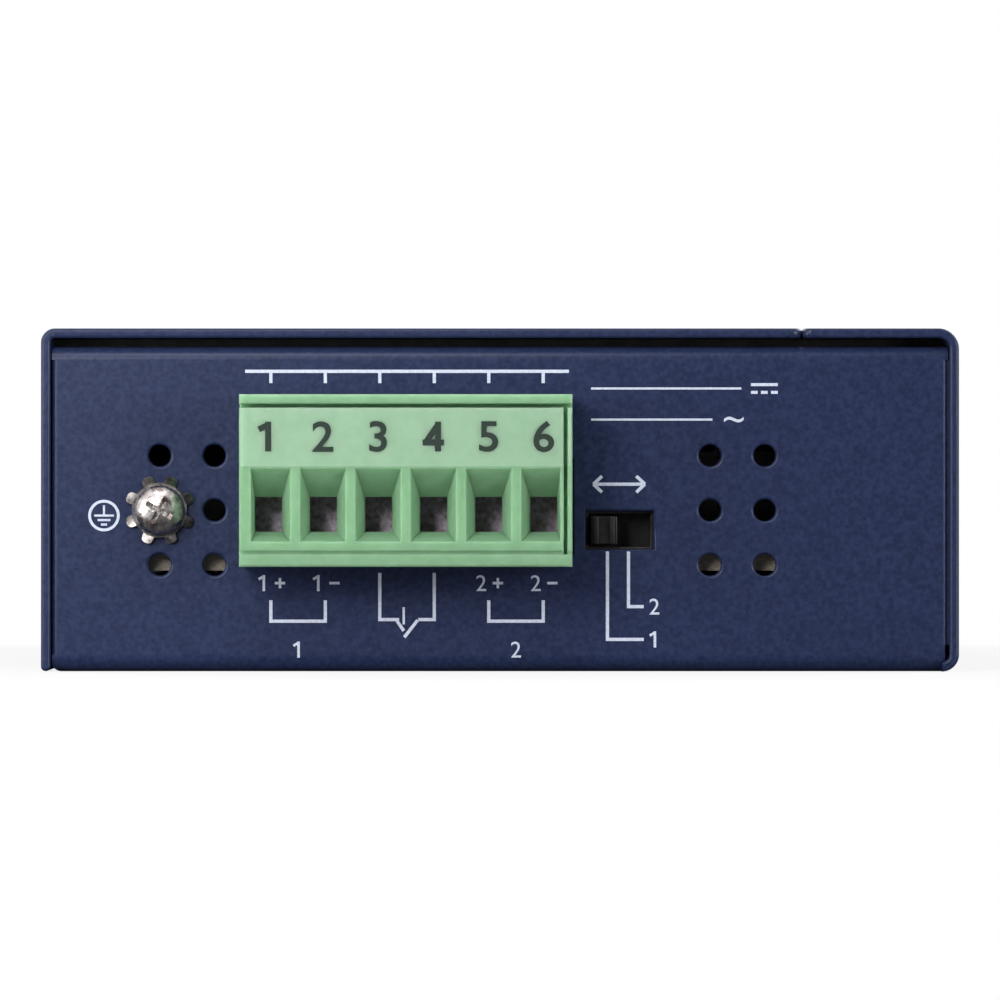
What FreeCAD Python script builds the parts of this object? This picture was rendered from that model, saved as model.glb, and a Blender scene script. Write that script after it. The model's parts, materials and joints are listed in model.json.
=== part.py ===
import FreeCAD, Part
import math
import os

# Industrial media converter: a folded steel casing round one circuit board, with a pluggable screw
# terminal, a slide switch and an earth screw on the power panel, and the data ports on one long wall.
#
# Driving dimensions in millimetres. X runs across the power panel, Y from the power panel to the far
# panel, Z up from the floor. The origin is the middle of the floor's underside.

# Casing sheets
BODY_WIDTH = 85.6
BODY_LENGTH = 135.0
BODY_HEIGHT = 32.0
SHEET = 0.9
PANEL_SETBACK = 0.5       # the end panels stand behind the edges of the other walls
LEG_GAP = 0.1             # between the cover's leg and the chassis
LEG_LIFT = 0.05           # the cover's leg ends above the underside of the floor
LEG_ROUND = 0.43          # rounding of the leg's free end
WALL_SEAM = 0.1           # between the port wall and the panels
TOP_GAP = 0.8             # between the panels' top flanges and the top sheets
SEAM_X = 28.15            # seam in the top, between cover and chassis lip
SEAM_WIDTH = 0.1
SEAM_ROUND = 0.9          # corners of both sheets at the ends of the seam
FLOOR_BEND = 1.6          # outer radius of each bend
LIP_BEND = 1.9
COVER_BEND = 1.3
PANEL_BEND = 1.6
FLANGE_BEND = 1.25
SIDE_BEND = 0.55          # panel flanges behind the side walls
FLANGE_DEPTH = 12.0       # panel flanges, measured back from the panel's face
CORNER_ROUND = 0.85       # lower left edge of the chassis
CORNER_RELIEF = 0.9       # height of the slot over the lower right corner
CORNER_SLOT = 0.3         # width of that slot
TAB_Y = 30.0              # cover tabs tucked under the chassis lip
TAB_WIDTH = 14.0
TAB_REACH = 6.0
TAB_GAP = 0.1
JOGGLE_RUN = 1.4
JOGGLE_BEND = 0.4

# Fits
FIT = 0.1                 # still pieces that sit in one another
RUN_FIT = 0.25            # pieces that move in one another
SEAT_GAP = 0.05           # faces that bear on one another across a moving fit

# Cover screws and clip holes
SCREW_RADIUS = 1.25
SCREW_HEAD_RADIUS = 2.5
SCREW_INSET = 5.0         # from the ends of the side flanges
COVER_SCREW_LENGTH = 5.0
CLIP_SPACING_Y = 25.0
CLIP_SPACING_Z = 16.0
CLIP_Z = 16.0
CLIP_HOLE_RADIUS = 1.65
NUT_RADIUS = 3.4
NUT_HEIGHT = 1.8

# Vents and earth point
VENT_RADIUS = 1.02
VENT_PITCH = 5.1
VENT_ROWS = 3
VENT_COLUMNS = 2
VENTS_Z = 15.05
LEFT_VENTS_CLEAR = 2.59   # from the header to the nearest column
RIGHT_VENTS_CLEAR = 4.92  # from the switch to the nearest column
EARTH_HEAD_RADIUS = 2.32
EARTH_HEAD_HEIGHT = 1.7
EARTH_HEAD_ROUND = 0.8
EARTH_SHANK_RADIUS = 1.4
EARTH_SHANK_LENGTH = 4.5
EARTH_TURN = 30.0         # degrees that the cross recess is turned
RECESS_WIDTH = 0.6
RECESS_DEPTH = 0.9
WASHER_RADIUS = 3.3
WASHER_RING_RADIUS = 2.55
WASHER_THICKNESS = 0.66
TOOTH_COUNT = 8
TOOTH_WIDTH = 1.15
TOOTH_THICKNESS = 0.26
TOOTH_TWIST = 20.0
EARTH_NUT_RADIUS = 2.8
EARTH_NUT_HEIGHT = 2.0

# Board and its supports
STANDOFF_HEIGHT = 8.5
STANDOFF_RADIUS = 2.5
STANDOFF_INSET = 6.0
BOARD_THICKNESS = 1.6
BOARD_EDGE_X = 3.3        # from the outside of the side walls to the board
BOARD_EDGE_Y = 2.5        # from the outside of the panels to the board
BOARD_SCREW_LENGTH = 6.0
BOARD_HEAD_RADIUS = 2.6
BOARD_HEAD_HEIGHT = 1.8

# Screw terminal
POLES = 6
PITCH = 5.08
TERMINAL_INSET = 34.13    # from the box's left side to the middle of the terminal
PLUG_END = 2.63           # from the outer poles to the plug's ends
PLUG_REACH = 10.5         # from the panel to the plug's face
PLUG_STAND_OFF = 0.6      # between the panel and the plug's shoulder
PLUG_HEIGHT = 15.88
PLUG_DROP = 1.15          # the plug reaches below the board's top
FUNNEL_WIDTH = 4.18
FUNNEL_RISE = 2.3         # from the plug's underside to the funnels
FUNNEL_HEIGHT = 6.79
FUNNEL_DEPTH = 2.8
END_WALL = 1.1
PLUG_ROUND = 0.25         # edges of the plug's face
THROAT_WIDTH = 2.5
THROAT_HEIGHT = 3.23
THROAT_RISE = 0.91        # from the funnel's lower edge to the throat
FACE_GROOVE_WIDTH = 0.35
FACE_GROOVE_DEPTH = 2.2
FACE_GROOVE_DROP = 0.88   # from the plug's top
SIDE_GROOVE_INSET = 0.45  # from the plug's right end
LEDGE_RISE = 1.14         # shallow groove above the plug's underside
LEDGE_WIDTH = 0.3
LEDGE_DEPTH = 0.3
NOSE_LENGTH = 7.6
CAGE_WIDTH = 3.9
CAGE_DEPTH = 4.5
CAGE_SIDE = 0.55
CAGE_FOOT = 1.0
CAGE_HEAD = 1.8
CAGE_LIFT = 2.0           # travel of a cage from open to closed
CAGE_FOOT_DROP = 0.16     # the cage's foot lies below the throat when open
WIRE_ROOM = 3.6           # from the cage's foot to the current bar when open
BAR_THICKNESS = 0.8
BAR_WIDTH = 2.0
CLAMP_SHANK_RADIUS = 1.25
CLAMP_HEAD_RADIUS = 1.7
CLAMP_HEAD_HEIGHT = 1.6
CLAMP_SLOT_WIDTH = 0.5
CLAMP_SLOT_DEPTH = 0.8
PLUG_BACK_WALL = 1.0      # plastic behind the cages' rooms
WELL_WEB = 0.7            # plastic between the cage's room and the screw's well
HEADER_END = 0.13         # header beyond half a pitch outside the end poles
HEADER_HEIGHT = 8.6
HEADER_DEPTH = 12.0
HEADER_PROUD = 0.2        # header in front of the panel's face
HEADER_WALL = 0.8
HEADER_BACK = 3.6
PIN_SIDE = 1.0
PIN_RISE = 4.3            # pin axis above the board
PIN_DROP = 2.5            # pin below the board
SOCKET_WALL = 0.4

# Slide switch
SWITCH_GAP = 0.86         # from the header
SWITCH_WIDTH = 7.1
SWITCH_HEIGHT = 4.35
SWITCH_DEPTH = 5.8
SWITCH_BEHIND = 0.2       # between the panel and the switch
WINDOW_WIDTH = 6.29
WINDOW_HEIGHT = 3.55
KNOB_WIDTH = 2.46
KNOB_HEIGHT = 2.6
KNOB_TRAVEL = 2.8
KNOB_DEPTH = 2.6          # knob inside the switch
KNOB_PROUD = 0.2          # knob in front of the panel's face
RIB_COUNT = 2
RIB_PITCH = 1.5
RIB_WIDTH = 0.5
RIB_HEIGHT = 0.35
SWITCH_PINS = 3
SWITCH_PIN_PITCH = 2.0
SWITCH_PIN_SIDE = 0.5

# Fibre ports
FIBRE_PORTS = 2
FIBRE_Y = -15.0
FIBRE_PITCH = 18.0
FIBRE_WIDTH = 14.0
FIBRE_HEIGHT = 9.7
FIBRE_LENGTH = 48.0
FIBRE_WALL = 0.4
PORT_PROUD = 0.8          # cages and jack in front of the port wall
PORT_CLEARANCE = 0.25
CONNECTOR_LENGTH = 14.0
CONNECTOR_HEIGHT = 7.0
CONNECTOR_SIDE = 0.6
CARD_SLOT_WIDTH = 9.0
CARD_SLOT_HEIGHT = 1.2
CARD_SLOT_DEPTH = 8.0

# LAN jack
LAN_Y = 24.0
LAN_WIDTH = 16.0
LAN_HEIGHT = 13.4
LAN_DEPTH = 21.0
LAN_SHELL = 0.3
LAN_RECESS = 0.5          # plastic behind the shell's edge
SOCKET_WIDTH = 11.9
SOCKET_HEIGHT = 7.2
SOCKET_RISE = 3.4
SOCKET_DEPTH = 14.0
LATCH_WIDTH = 6.2
LATCH_DROP = 1.6
LAN_CONTACTS = 8
CONTACT_PITCH = 1.02
CONTACT_WIDTH = 0.45
CONTACT_THICKNESS = 0.3
CONTACT_TAIL = 3.0
CONTACT_SETBACK = 3.0
CONTACT_SPRING = 6.0
CONTACT_DIP = 2.0

# Indicators
LED_COUNT = 5
LED_PITCH = 4.0
LED_Y = -46.0
LED_SIDE = 2.4
LED_SETBACK = 0.5         # from the board's edge
PIPE_RADIUS = 1.0
PIPE_PROUD = 0.3

# Parts on the board
PART_GAP = 2.0            # least room between parts
COLUMN_CLEAR = 2.5        # between the column of power parts and the fibre cages
RELAY_SIZE = (15.0, 7.5, 11.0)
RELAY_ROUND = 0.5
CHOKE_BORE_RADIUS = 3.9
CHOKE_RADIUS = 7.2
CHOKE_HEIGHT = 6.0
WINDING_THICKNESS = 0.9
WINDING_SPAN = 130.0
CORE_WIDTH = 18.0
CORE_DEPTH = 8.0
CORE_HEIGHT = 14.0
CORE_LEG = 5.0
CORE_YOKE = 2.5
BOBBIN_DEPTH = 14.0
CAPACITOR_COUNT = 2
CAPACITOR_RADIUS = 5.0
CAPACITOR_HEIGHT = 13.0
CAPACITOR_CRIMP_RISE = 2.5
CAPACITOR_CRIMP_DEPTH = 0.4
CAPACITOR_ROUND = 0.6
BRIDGE_SIZE = (8.4, 6.4, 3.2)
FUSE_RADIUS = 4.2
FUSE_HEIGHT = 7.5
SUPPRESSOR_SIZE = (6.8, 5.9, 2.4)
INDUCTOR_SIZE = (12.0, 12.0, 6.5)
INDUCTOR_CHAMFER = 2.0
CHIP_SIZE = (14.0, 14.0, 1.6)
MEMORY_SIZE = (5.3, 5.3, 1.8)
MAGNETICS_SIZE = (9.5, 12.7, 5.6)
CRYSTAL_SIZE = (4.6, 11.0, 3.5)
CRYSTAL_ROUND = 2.0
LEAD_PITCH = 1.27
LEAD_WIDTH = 0.5
LEAD_REACH = 1.0
LEAD_THICKNESS = 0.25
SINK_SIDE = 20.0
SINK_BASE = 1.6
SINK_FIN_HEIGHT = 6.0
SINK_FIN_THICKNESS = 1.0
SINK_FINS = 6

# Places that follow from the casing
half_width = BODY_WIDTH / 2
half_length = BODY_LENGTH / 2
wall_inside = half_width - SHEET
panel_face = half_length - PANEL_SETBACK
panel_inside = panel_face - SHEET
panel_left = -(wall_inside - LEG_GAP)
panel_right = wall_inside - WALL_SEAM
flange_top = BODY_HEIGHT - SHEET - TOP_GAP
side_run = SIDE_BEND + SHEET
bend_foot = flange_top - FLANGE_BEND
relief_top = FLOOR_BEND + CORNER_RELIEF
cover_edge = SEAM_X - SEAM_WIDTH / 2
lip_edge = SEAM_X + SEAM_WIDTH / 2
cover_screw_y = panel_face - (FLANGE_DEPTH + FLANGE_BEND) / 2
cover_screw_zs = (PANEL_BEND + SCREW_INSET, bend_foot - SCREW_INSET)
clip_places = [(y, CLIP_Z + dz) for y in (-CLIP_SPACING_Y / 2, CLIP_SPACING_Y / 2)
               for dz in (-CLIP_SPACING_Z / 2, CLIP_SPACING_Z / 2)]

# Places that follow from the board
board_bottom = SHEET + STANDOFF_HEIGHT
board_top = board_bottom + BOARD_THICKNESS
board_half_x = half_width - BOARD_EDGE_X
board_half_y = panel_face - BOARD_EDGE_Y
standoff_places = [(x, y) for x in (-board_half_x + STANDOFF_INSET, board_half_x - STANDOFF_INSET)
                   for y in (-board_half_y + STANDOFF_INSET, board_half_y - STANDOFF_INSET)]

# Places that follow from the screw terminal
terminal_x = -half_width + TERMINAL_INSET
pole_xs = [terminal_x + (i - (POLES - 1) / 2) * PITCH for i in range(POLES)]
plug_left = pole_xs[0] - PLUG_END
plug_right = pole_xs[-1] + PLUG_END
plug_face = -(panel_face + PLUG_REACH)
plug_back = -(panel_face + PLUG_STAND_OFF)
plug_bottom = board_top - PLUG_DROP
plug_top = plug_bottom + PLUG_HEIGHT
funnel_bottom = plug_bottom + FUNNEL_RISE
throat_bottom = funnel_bottom + THROAT_RISE
cage_foot_bottom = throat_bottom - CAGE_FOOT_DROP - CAGE_FOOT
bar_bottom = throat_bottom - CAGE_FOOT_DROP + WIRE_ROOM
bar_top = bar_bottom + BAR_THICKNESS
cage_head_bottom = bar_top + FIT
cage_head_top = cage_head_bottom + CAGE_HEAD
cage_room_top = cage_head_top + CAGE_LIFT + RUN_FIT
well_bottom = cage_room_top + WELL_WEB
cage_room_back = plug_back - PLUG_BACK_WALL
cage_back = cage_room_back - RUN_FIT
cage_front = cage_back - CAGE_DEPTH
cage_room_front = cage_front - RUN_FIT
clamp_y = (cage_front + cage_back) / 2
header_left = pole_xs[0] - PITCH / 2 - HEADER_END
header_right = pole_xs[-1] + PITCH / 2 + HEADER_END
header_front = -(panel_face + HEADER_PROUD)
header_back = header_front + HEADER_DEPTH
header_top = board_top + HEADER_HEIGHT
header_floor = header_back - HEADER_BACK
nose_tip = plug_back + NOSE_LENGTH
pin_z = board_top + PIN_RISE
pin_tip = plug_back + RUN_FIT + PLUG_BACK_WALL
pin_tail_y = header_back + PIN_SIDE

# Places that follow from the slide switch
switch_left = header_right + SWITCH_GAP
switch_right = switch_left + SWITCH_WIDTH
switch_x = (switch_left + switch_right) / 2
switch_z = board_top + SWITCH_HEIGHT / 2
switch_front = -(panel_inside - SWITCH_BEHIND)
switch_back = switch_front + SWITCH_DEPTH
knob_left = switch_x - (KNOB_WIDTH + KNOB_TRAVEL) / 2
knob_right = knob_left + KNOB_WIDTH

# Places that follow from the vents
half_vents = VENT_PITCH / 2 * (VENT_COLUMNS - 1)
left_vents_x = header_left - LEFT_VENTS_CLEAR - half_vents
right_vents_x = switch_right + RIGHT_VENTS_CLEAR + half_vents
earth_x = left_vents_x - half_vents
earth_z = VENTS_Z

# Places that follow from the ports
port_front = half_width + PORT_PROUD
fibre_ys = [FIBRE_Y + (i - (FIBRE_PORTS - 1) / 2) * FIBRE_PITCH for i in range(FIBRE_PORTS)]
fibre_back = port_front - FIBRE_LENGTH
fibre_top = board_top + FIBRE_HEIGHT
connector_front = fibre_back + FIBRE_WALL + FIT + CONNECTOR_LENGTH
lan_back = port_front - LAN_DEPTH
lan_top = board_top + LAN_HEIGHT
lan_plastic_front = port_front - LAN_RECESS
socket_back = lan_plastic_front - SOCKET_DEPTH
socket_bottom = board_top + SOCKET_RISE
socket_top = socket_bottom + SOCKET_HEIGHT
contact_z = socket_top - FIT
led_ys = [LED_Y + (i - (LED_COUNT - 1) / 2) * LED_PITCH for i in range(LED_COUNT)]
led_z = board_top + LED_SIDE / 2
led_front = board_half_x - LED_SETBACK

# Places of the parts on the board: a column beside the fibre cages and a row behind the terminal
choke_reach = CHOKE_RADIUS + WINDING_THICKNESS + FIT
capacitor_pitch = 2 * CAPACITOR_RADIUS + PART_GAP
capacitor_row = capacitor_pitch * CAPACITOR_COUNT - PART_GAP
column_width = max(2 * choke_reach, CORE_WIDTH, capacitor_row, INDUCTOR_SIZE[0])
column_left = fibre_back - COLUMN_CLEAR - column_width
power_row_y = header_back + PIN_SIDE * 2 + PART_GAP
relay_place = (column_left + RELAY_SIZE[0] / 2, power_row_y + RELAY_SIZE[1] / 2)
choke_place = (column_left + choke_reach, relay_place[1] + RELAY_SIZE[1] / 2 + PART_GAP + choke_reach)
core_place = (column_left + CORE_WIDTH / 2, choke_place[1] + choke_reach + PART_GAP + BOBBIN_DEPTH / 2)
capacitor_y = core_place[1] + BOBBIN_DEPTH / 2 + PART_GAP + CAPACITOR_RADIUS
capacitor_places = [(column_left + CAPACITOR_RADIUS + i * capacitor_pitch, capacitor_y)
                    for i in range(CAPACITOR_COUNT)]
inductor_place = (column_left + INDUCTOR_SIZE[0] / 2,
                  capacitor_y + CAPACITOR_RADIUS + PART_GAP + INDUCTOR_SIZE[1] / 2)
bridge_place = (relay_place[0] + RELAY_SIZE[0] / 2 + PART_GAP + LEAD_REACH + BRIDGE_SIZE[0] / 2,
                power_row_y + BRIDGE_SIZE[1] / 2)
fuse_place = (bridge_place[0] + BRIDGE_SIZE[0] / 2 + LEAD_REACH + PART_GAP + FUSE_RADIUS,
              power_row_y + FUSE_RADIUS)
suppressor_place = (fuse_place[0] + FUSE_RADIUS + PART_GAP + LEAD_REACH + SUPPRESSOR_SIZE[0] / 2,
                    power_row_y + SUPPRESSOR_SIZE[1] / 2)
magnetics_place = (lan_back - PART_GAP - LEAD_REACH - MAGNETICS_SIZE[0] / 2, LAN_Y)
chip_y = max(inductor_place[1] + INDUCTOR_SIZE[1] / 2, LAN_Y + LAN_WIDTH / 2) + PART_GAP + SINK_SIDE / 2
chip_place = (SINK_SIDE / 2, chip_y)
memory_place = (chip_place[0] - SINK_SIDE / 2 - PART_GAP - LEAD_REACH - MEMORY_SIZE[0] / 2, chip_y)
crystal_place = (chip_place[0] + SINK_SIDE / 2 + PART_GAP + CRYSTAL_SIZE[0] / 2, chip_y)

AXIS_X = FreeCAD.Vector(1, 0, 0)
AXIS_Y = FreeCAD.Vector(0, 1, 0)
AXIS_Z = FreeCAD.Vector(0, 0, 1)
PAST = 1.0                # cutting tools run this far past the faces that they open
TINY = 1e-6


# Shapes used by several pieces

def block(x0, x1, y0, y1, z0, z1):
    return Part.makeBox(x1 - x0, y1 - y0, z1 - z0, FreeCAD.Vector(x0, y0, z0))


def post(radius, x, y, z0, z1):
    return Part.makeCylinder(radius, z1 - z0, FreeCAD.Vector(x, y, z0), AXIS_Z)


def rod_x(radius, x0, x1, y, z):
    return Part.makeCylinder(radius, x1 - x0, FreeCAD.Vector(x0, y, z), AXIS_X)


def rod_y(radius, x, y0, y1, z):
    return Part.makeCylinder(radius, y1 - y0, FreeCAD.Vector(x, y0, z), AXIS_Y)


def standing_block(x, y, size, base):
    """Block of a (width, depth, height) size that stands on a base height, centred at x, y."""
    width, depth, height = size
    return block(x - width / 2, x + width / 2, y - depth / 2, y + depth / 2, base, base + height)


def joined(shapes):
    return shapes[0].fuse(shapes[1:]).removeSplitter()


def group(shapes):
    return Part.makeCompound(shapes)


def edges_along(shape, axis, test):
    """Straight edges parallel to an axis whose middle passes a test."""
    found = []
    for edge in shape.Edges:
        if len(edge.Vertexes) == 2 and isinstance(edge.Curve, Part.Line):
            way = edge.Curve.Direction
            if abs(way.dot(axis)) > 0.999 and test(edge.CenterOfMass):
                found.append(edge)
    return found


def path_face(points, thickness):
    """The points of the other face of a bent strip, which lies to the left of the path."""
    ways = [(b - a).normalize() for a, b in zip(points, points[1:])]
    lefts = [FreeCAD.Vector(-way.y, way.x, 0) for way in ways]
    other = [points[0] + lefts[0] * thickness]
    for i in range(1, len(points) - 1):
        mitre = (lefts[i - 1] + lefts[i]) * (thickness / (1 + lefts[i - 1].dot(lefts[i])))
        other.append(points[i] + mitre)
    other.append(points[-1] + lefts[-1] * thickness)
    return other


def turns_left(points, i):
    before = points[i] - points[i - 1]
    after = points[i + 1] - points[i]
    return before.x * after.y - before.y * after.x > 0


def straight(start, end):
    """The line between two points, or nothing where an arc ends on the next one."""
    return [Part.makeLine(start, end)] if start.distanceToPoint(end) > TINY else []


def rounded_path(points, radii):
    """Lines through the points, with an arc of the given radius at each inner point."""
    edges = []
    start = points[0]
    for i in range(1, len(points) - 1):
        radius = radii[i - 1]
        corner = points[i]
        back = (points[i - 1] - corner).normalize()
        ahead = (points[i + 1] - corner).normalize()
        half = back.getAngle(ahead) / 2
        if radius > 0:
            reach = radius / math.tan(half)
            middle = (back + ahead).normalize() * (radius / math.sin(half) - radius)
            edges += straight(start, corner + back * reach)
            edges.append(Part.Arc(corner + back * reach, corner + middle, corner + ahead * reach).toShape())
            start = corner + ahead * reach
        else:
            edges += straight(start, corner)
            start = corner
    return edges + straight(start, points[-1])


def bent_strip(corners, radii, thickness, length):
    """A strip bent along a path in the XY plane and drawn out along +Z.

    The radii are those of the path itself, and the strip's thickness lies to the left of it."""
    points = [FreeCAD.Vector(u, v, 0) for u, v in corners]
    other = path_face(points, thickness)
    other_radii = []
    for i, radius in enumerate(radii):
        if turns_left(points, i + 1):
            other_radii.append(max(radius - thickness, 0))
        else:
            other_radii.append(radius + thickness)
    edges = rounded_path(points, radii) + rounded_path(other, other_radii)
    edges.append(Part.makeLine(points[0], other[0]))
    edges.append(Part.makeLine(points[-1], other[-1]))
    wire = Part.Wire(Part.__sortEdges__(edges))
    return Part.Face(wire).extrude(AXIS_Z * length)


def strip_in_xz(corners, radii, thickness, y0, y1):
    """A bent strip whose path is given in X and Z, drawn out from y0 to y1."""
    strip = bent_strip(corners, radii, thickness, y1 - y0)
    strip.rotate(FreeCAD.Vector(), AXIS_X, 90)
    strip.translate(AXIS_Y * y1)
    return strip


def strip_in_yz(corners, radii, thickness, x0, x1):
    """A bent strip whose path is given in Y and Z, drawn out from x0 to x1."""
    strip = bent_strip(corners, radii, thickness, x1 - x0)
    strip.rotate(FreeCAD.Vector(), AXIS_X, 90)
    strip.rotate(FreeCAD.Vector(), AXIS_Z, 90)
    strip.translate(AXIS_X * x0)
    return strip


def strip_in_xy(corners, radii, thickness, z0, z1):
    strip = bent_strip(corners, radii, thickness, z1 - z0)
    strip.translate(AXIS_Z * z0)
    return strip


def tapered_hole(near, far, y_near, y_far):
    """A hole between two (left, right, bottom, top) rectangles at two depths."""
    wires = []
    for (left, right, bottom, top), y in ((near, y_near), (far, y_far)):
        corners = [(left, bottom), (right, bottom), (right, top), (left, top), (left, bottom)]
        wires.append(Part.makePolygon([FreeCAD.Vector(x, y, z) for x, z in corners]))
    return Part.makeLoft(wires, True, True)


# Casing

def vent_places(centre_x):
    places = []
    for i in range(VENT_COLUMNS):
        for j in range(VENT_ROWS):
            x = centre_x + (i - (VENT_COLUMNS - 1) / 2) * VENT_PITCH
            z = VENTS_Z + (j - (VENT_ROWS - 1) / 2) * VENT_PITCH
            places.append((x, z))
    return places


def panel_hole(radius, x, z):
    return rod_y(radius, x, -panel_face - PAST, -panel_inside + PAST, z)


def panel_window(left, right, bottom, top):
    return block(left, right, -panel_face - PAST, -panel_inside + PAST, bottom, top)


def end_panel():
    """The power end's panel with its floor bend and three flanges, before any hole."""
    floor_joint = -(panel_face - PANEL_BEND)
    flange_end = -(panel_face - FLANGE_DEPTH)
    path = [(flange_end, flange_top), (-panel_face, flange_top), (-panel_face, 0), (floor_joint, 0)]
    sheet = strip_in_yz(path, [FLANGE_BEND, PANEL_BEND], SHEET, panel_left, panel_right)
    floor_bend_start = half_width - FLOOR_BEND
    slot_foot = SHEET + FIT
    left_start = panel_left + side_run
    right_start = panel_right - side_run
    front = -half_length
    back = flange_end + PAST
    sheet = sheet.cut([
        block(floor_bend_start, half_width, front, back, -PAST, slot_foot),
        block(panel_right - CORNER_SLOT, half_width, front, back, slot_foot, relief_top),
        block(panel_left - PAST, left_start, front, back, PANEL_BEND, bend_foot),
        block(right_start, half_width, front, back, relief_top, bend_foot),
    ])
    left_path = [(panel_left, flange_end), (panel_left, -panel_face), (left_start, -panel_face)]
    left = strip_in_xy(left_path, [SIDE_BEND], SHEET, PANEL_BEND, bend_foot)
    right_path = [(right_start, -panel_face), (panel_right, -panel_face), (panel_right, flange_end)]
    right = strip_in_xy(right_path, [SIDE_BEND], SHEET, relief_top, bend_foot)
    tools = [rod_x(SCREW_RADIUS + FIT, panel_left - PAST, panel_left + SHEET + PAST, -cover_screw_y, z)
             for z in cover_screw_zs]
    return joined([sheet, left, right]).cut(tools)


def base_chassis():
    body = strip_in_xz([(panel_left, 0), (half_width, 0), (half_width, BODY_HEIGHT), (lip_edge, BODY_HEIGHT)],
                       [FLOOR_BEND, LIP_BEND], SHEET, -half_length, half_length)
    floor_end = panel_face - PANEL_BEND
    for y0, y1 in ((-half_length - PAST, -floor_end), (floor_end, half_length + PAST)):
        body = body.cut(block(panel_left - PAST, half_width - FLOOR_BEND, y0, y1, -PAST, SHEET + PAST))
    blank = end_panel()
    far_panel = blank.mirror(FreeCAD.Vector(), AXIS_Y)
    places = vent_places(left_vents_x) + vent_places(right_vents_x)
    vents = [panel_hole(VENT_RADIUS, x, z) for x, z in places]
    far_vents = [hole.mirror(FreeCAD.Vector(), AXIS_Y) for hole in vents]
    open_vents = [hole for hole, (x, z) in zip(vents, places)
                  if math.hypot(x - earth_x, z - earth_z) > VENT_RADIUS]
    power_panel = blank.cut(open_vents + [
        panel_hole(EARTH_SHANK_RADIUS + FIT, earth_x, earth_z),
        panel_window(header_left - FIT, header_right + FIT, board_top - FIT, header_top + FIT),
        panel_window(switch_x - WINDOW_WIDTH / 2, switch_x + WINDOW_WIDTH / 2,
                     switch_z - WINDOW_HEIGHT / 2, switch_z + WINDOW_HEIGHT / 2),
    ])
    body = joined([body, power_panel, far_panel.cut(far_vents)])
    return body.common(rounded_bounds()).cut(port_openings() + seam_mouths())


def rounded_bounds():
    """The room that the chassis fills, with its lower left edge rounded."""
    bounds = block(panel_left, half_width, -half_length, half_length, 0, BODY_HEIGHT)
    lower_left = edges_along(bounds, AXIS_Y, lambda p: p.x < 0 and p.z < SHEET)
    return bounds.makeFillet(CORNER_ROUND, lower_left)


def port_openings():
    x0 = wall_inside - PAST
    x1 = half_width + PAST
    tools = []
    for y, width, top in [(y, FIBRE_WIDTH, fibre_top) for y in fibre_ys] + [(LAN_Y, LAN_WIDTH, lan_top)]:
        reach = width / 2 + PORT_CLEARANCE
        tools.append(block(x0, x1, y - reach, y + reach, board_top - PORT_CLEARANCE, top + PORT_CLEARANCE))
    return tools + [rod_x(PIPE_RADIUS + FIT, x0, x1, y, led_z) for y in led_ys]


def seam_mouths():
    """What the rounded corners at the two ends of the seam leave out of both sheets."""
    left = cover_edge - SEAM_ROUND
    right = lip_edge + SEAM_ROUND
    y = -half_length + SEAM_ROUND
    bottom = BODY_HEIGHT - SHEET - TOP_GAP / 2
    top = BODY_HEIGHT + PAST
    corners = [post(SEAM_ROUND, x, y, bottom, top) for x in (left, right)]
    near = block(left, right, -half_length - PAST, y, bottom, top).cut(corners)
    return [near, near.mirror(FreeCAD.Vector(), AXIS_Y)]


def cover():
    sheet_path = [(cover_edge, BODY_HEIGHT), (-half_width, BODY_HEIGHT), (-half_width, LEG_LIFT)]
    top_and_leg = strip_in_xz(sheet_path, [COVER_BEND], SHEET, -half_length, half_length)
    free_end = edges_along(top_and_leg, AXIS_Y, lambda p: p.z < SHEET)
    sheet = top_and_leg.makeFillet(LEG_ROUND, free_end)
    tab_top = BODY_HEIGHT - SHEET - TAB_GAP
    joggle_head = cover_edge - SHEET - JOGGLE_RUN
    tab_path = [(lip_edge + TAB_REACH, tab_top), (joggle_head + JOGGLE_RUN, tab_top),
                (joggle_head, BODY_HEIGHT), (joggle_head - JOGGLE_RUN, BODY_HEIGHT)]
    half_tab = TAB_WIDTH / 2
    half_notch = half_tab + TAB_GAP
    tabs = []
    for y in (-TAB_Y, TAB_Y):
        sheet = sheet.cut(block(joggle_head, cover_edge + PAST, y - half_notch, y + half_notch,
                                BODY_HEIGHT - SHEET - PAST, BODY_HEIGHT + PAST))
        tabs.append(strip_in_xz(tab_path, [JOGGLE_BEND, JOGGLE_BEND], SHEET, y - half_tab, y + half_tab))
    holes = [rod_x(CLIP_HOLE_RADIUS, -half_width - PAST, -wall_inside + PAST, y, z) for y, z in clip_places]
    holes += [countersink(y, z, FIT) for y, z in cover_screw_places()]
    return joined([sheet] + tabs).cut(holes + seam_mouths())


def cover_screw_places():
    return [(y, z) for y in (-cover_screw_y, cover_screw_y) for z in cover_screw_zs]


def countersink(y, z, room):
    """Conical seat of a cover screw, wider than its head by the given room."""
    foot = FreeCAD.Vector(-half_width, y, z)
    cone = Part.makeCone(SCREW_HEAD_RADIUS + room, SCREW_RADIUS + room, SHEET, foot, AXIS_X)
    return cone.fuse(rod_x(SCREW_RADIUS + room, -half_width, -wall_inside + PAST, y, z))


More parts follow.
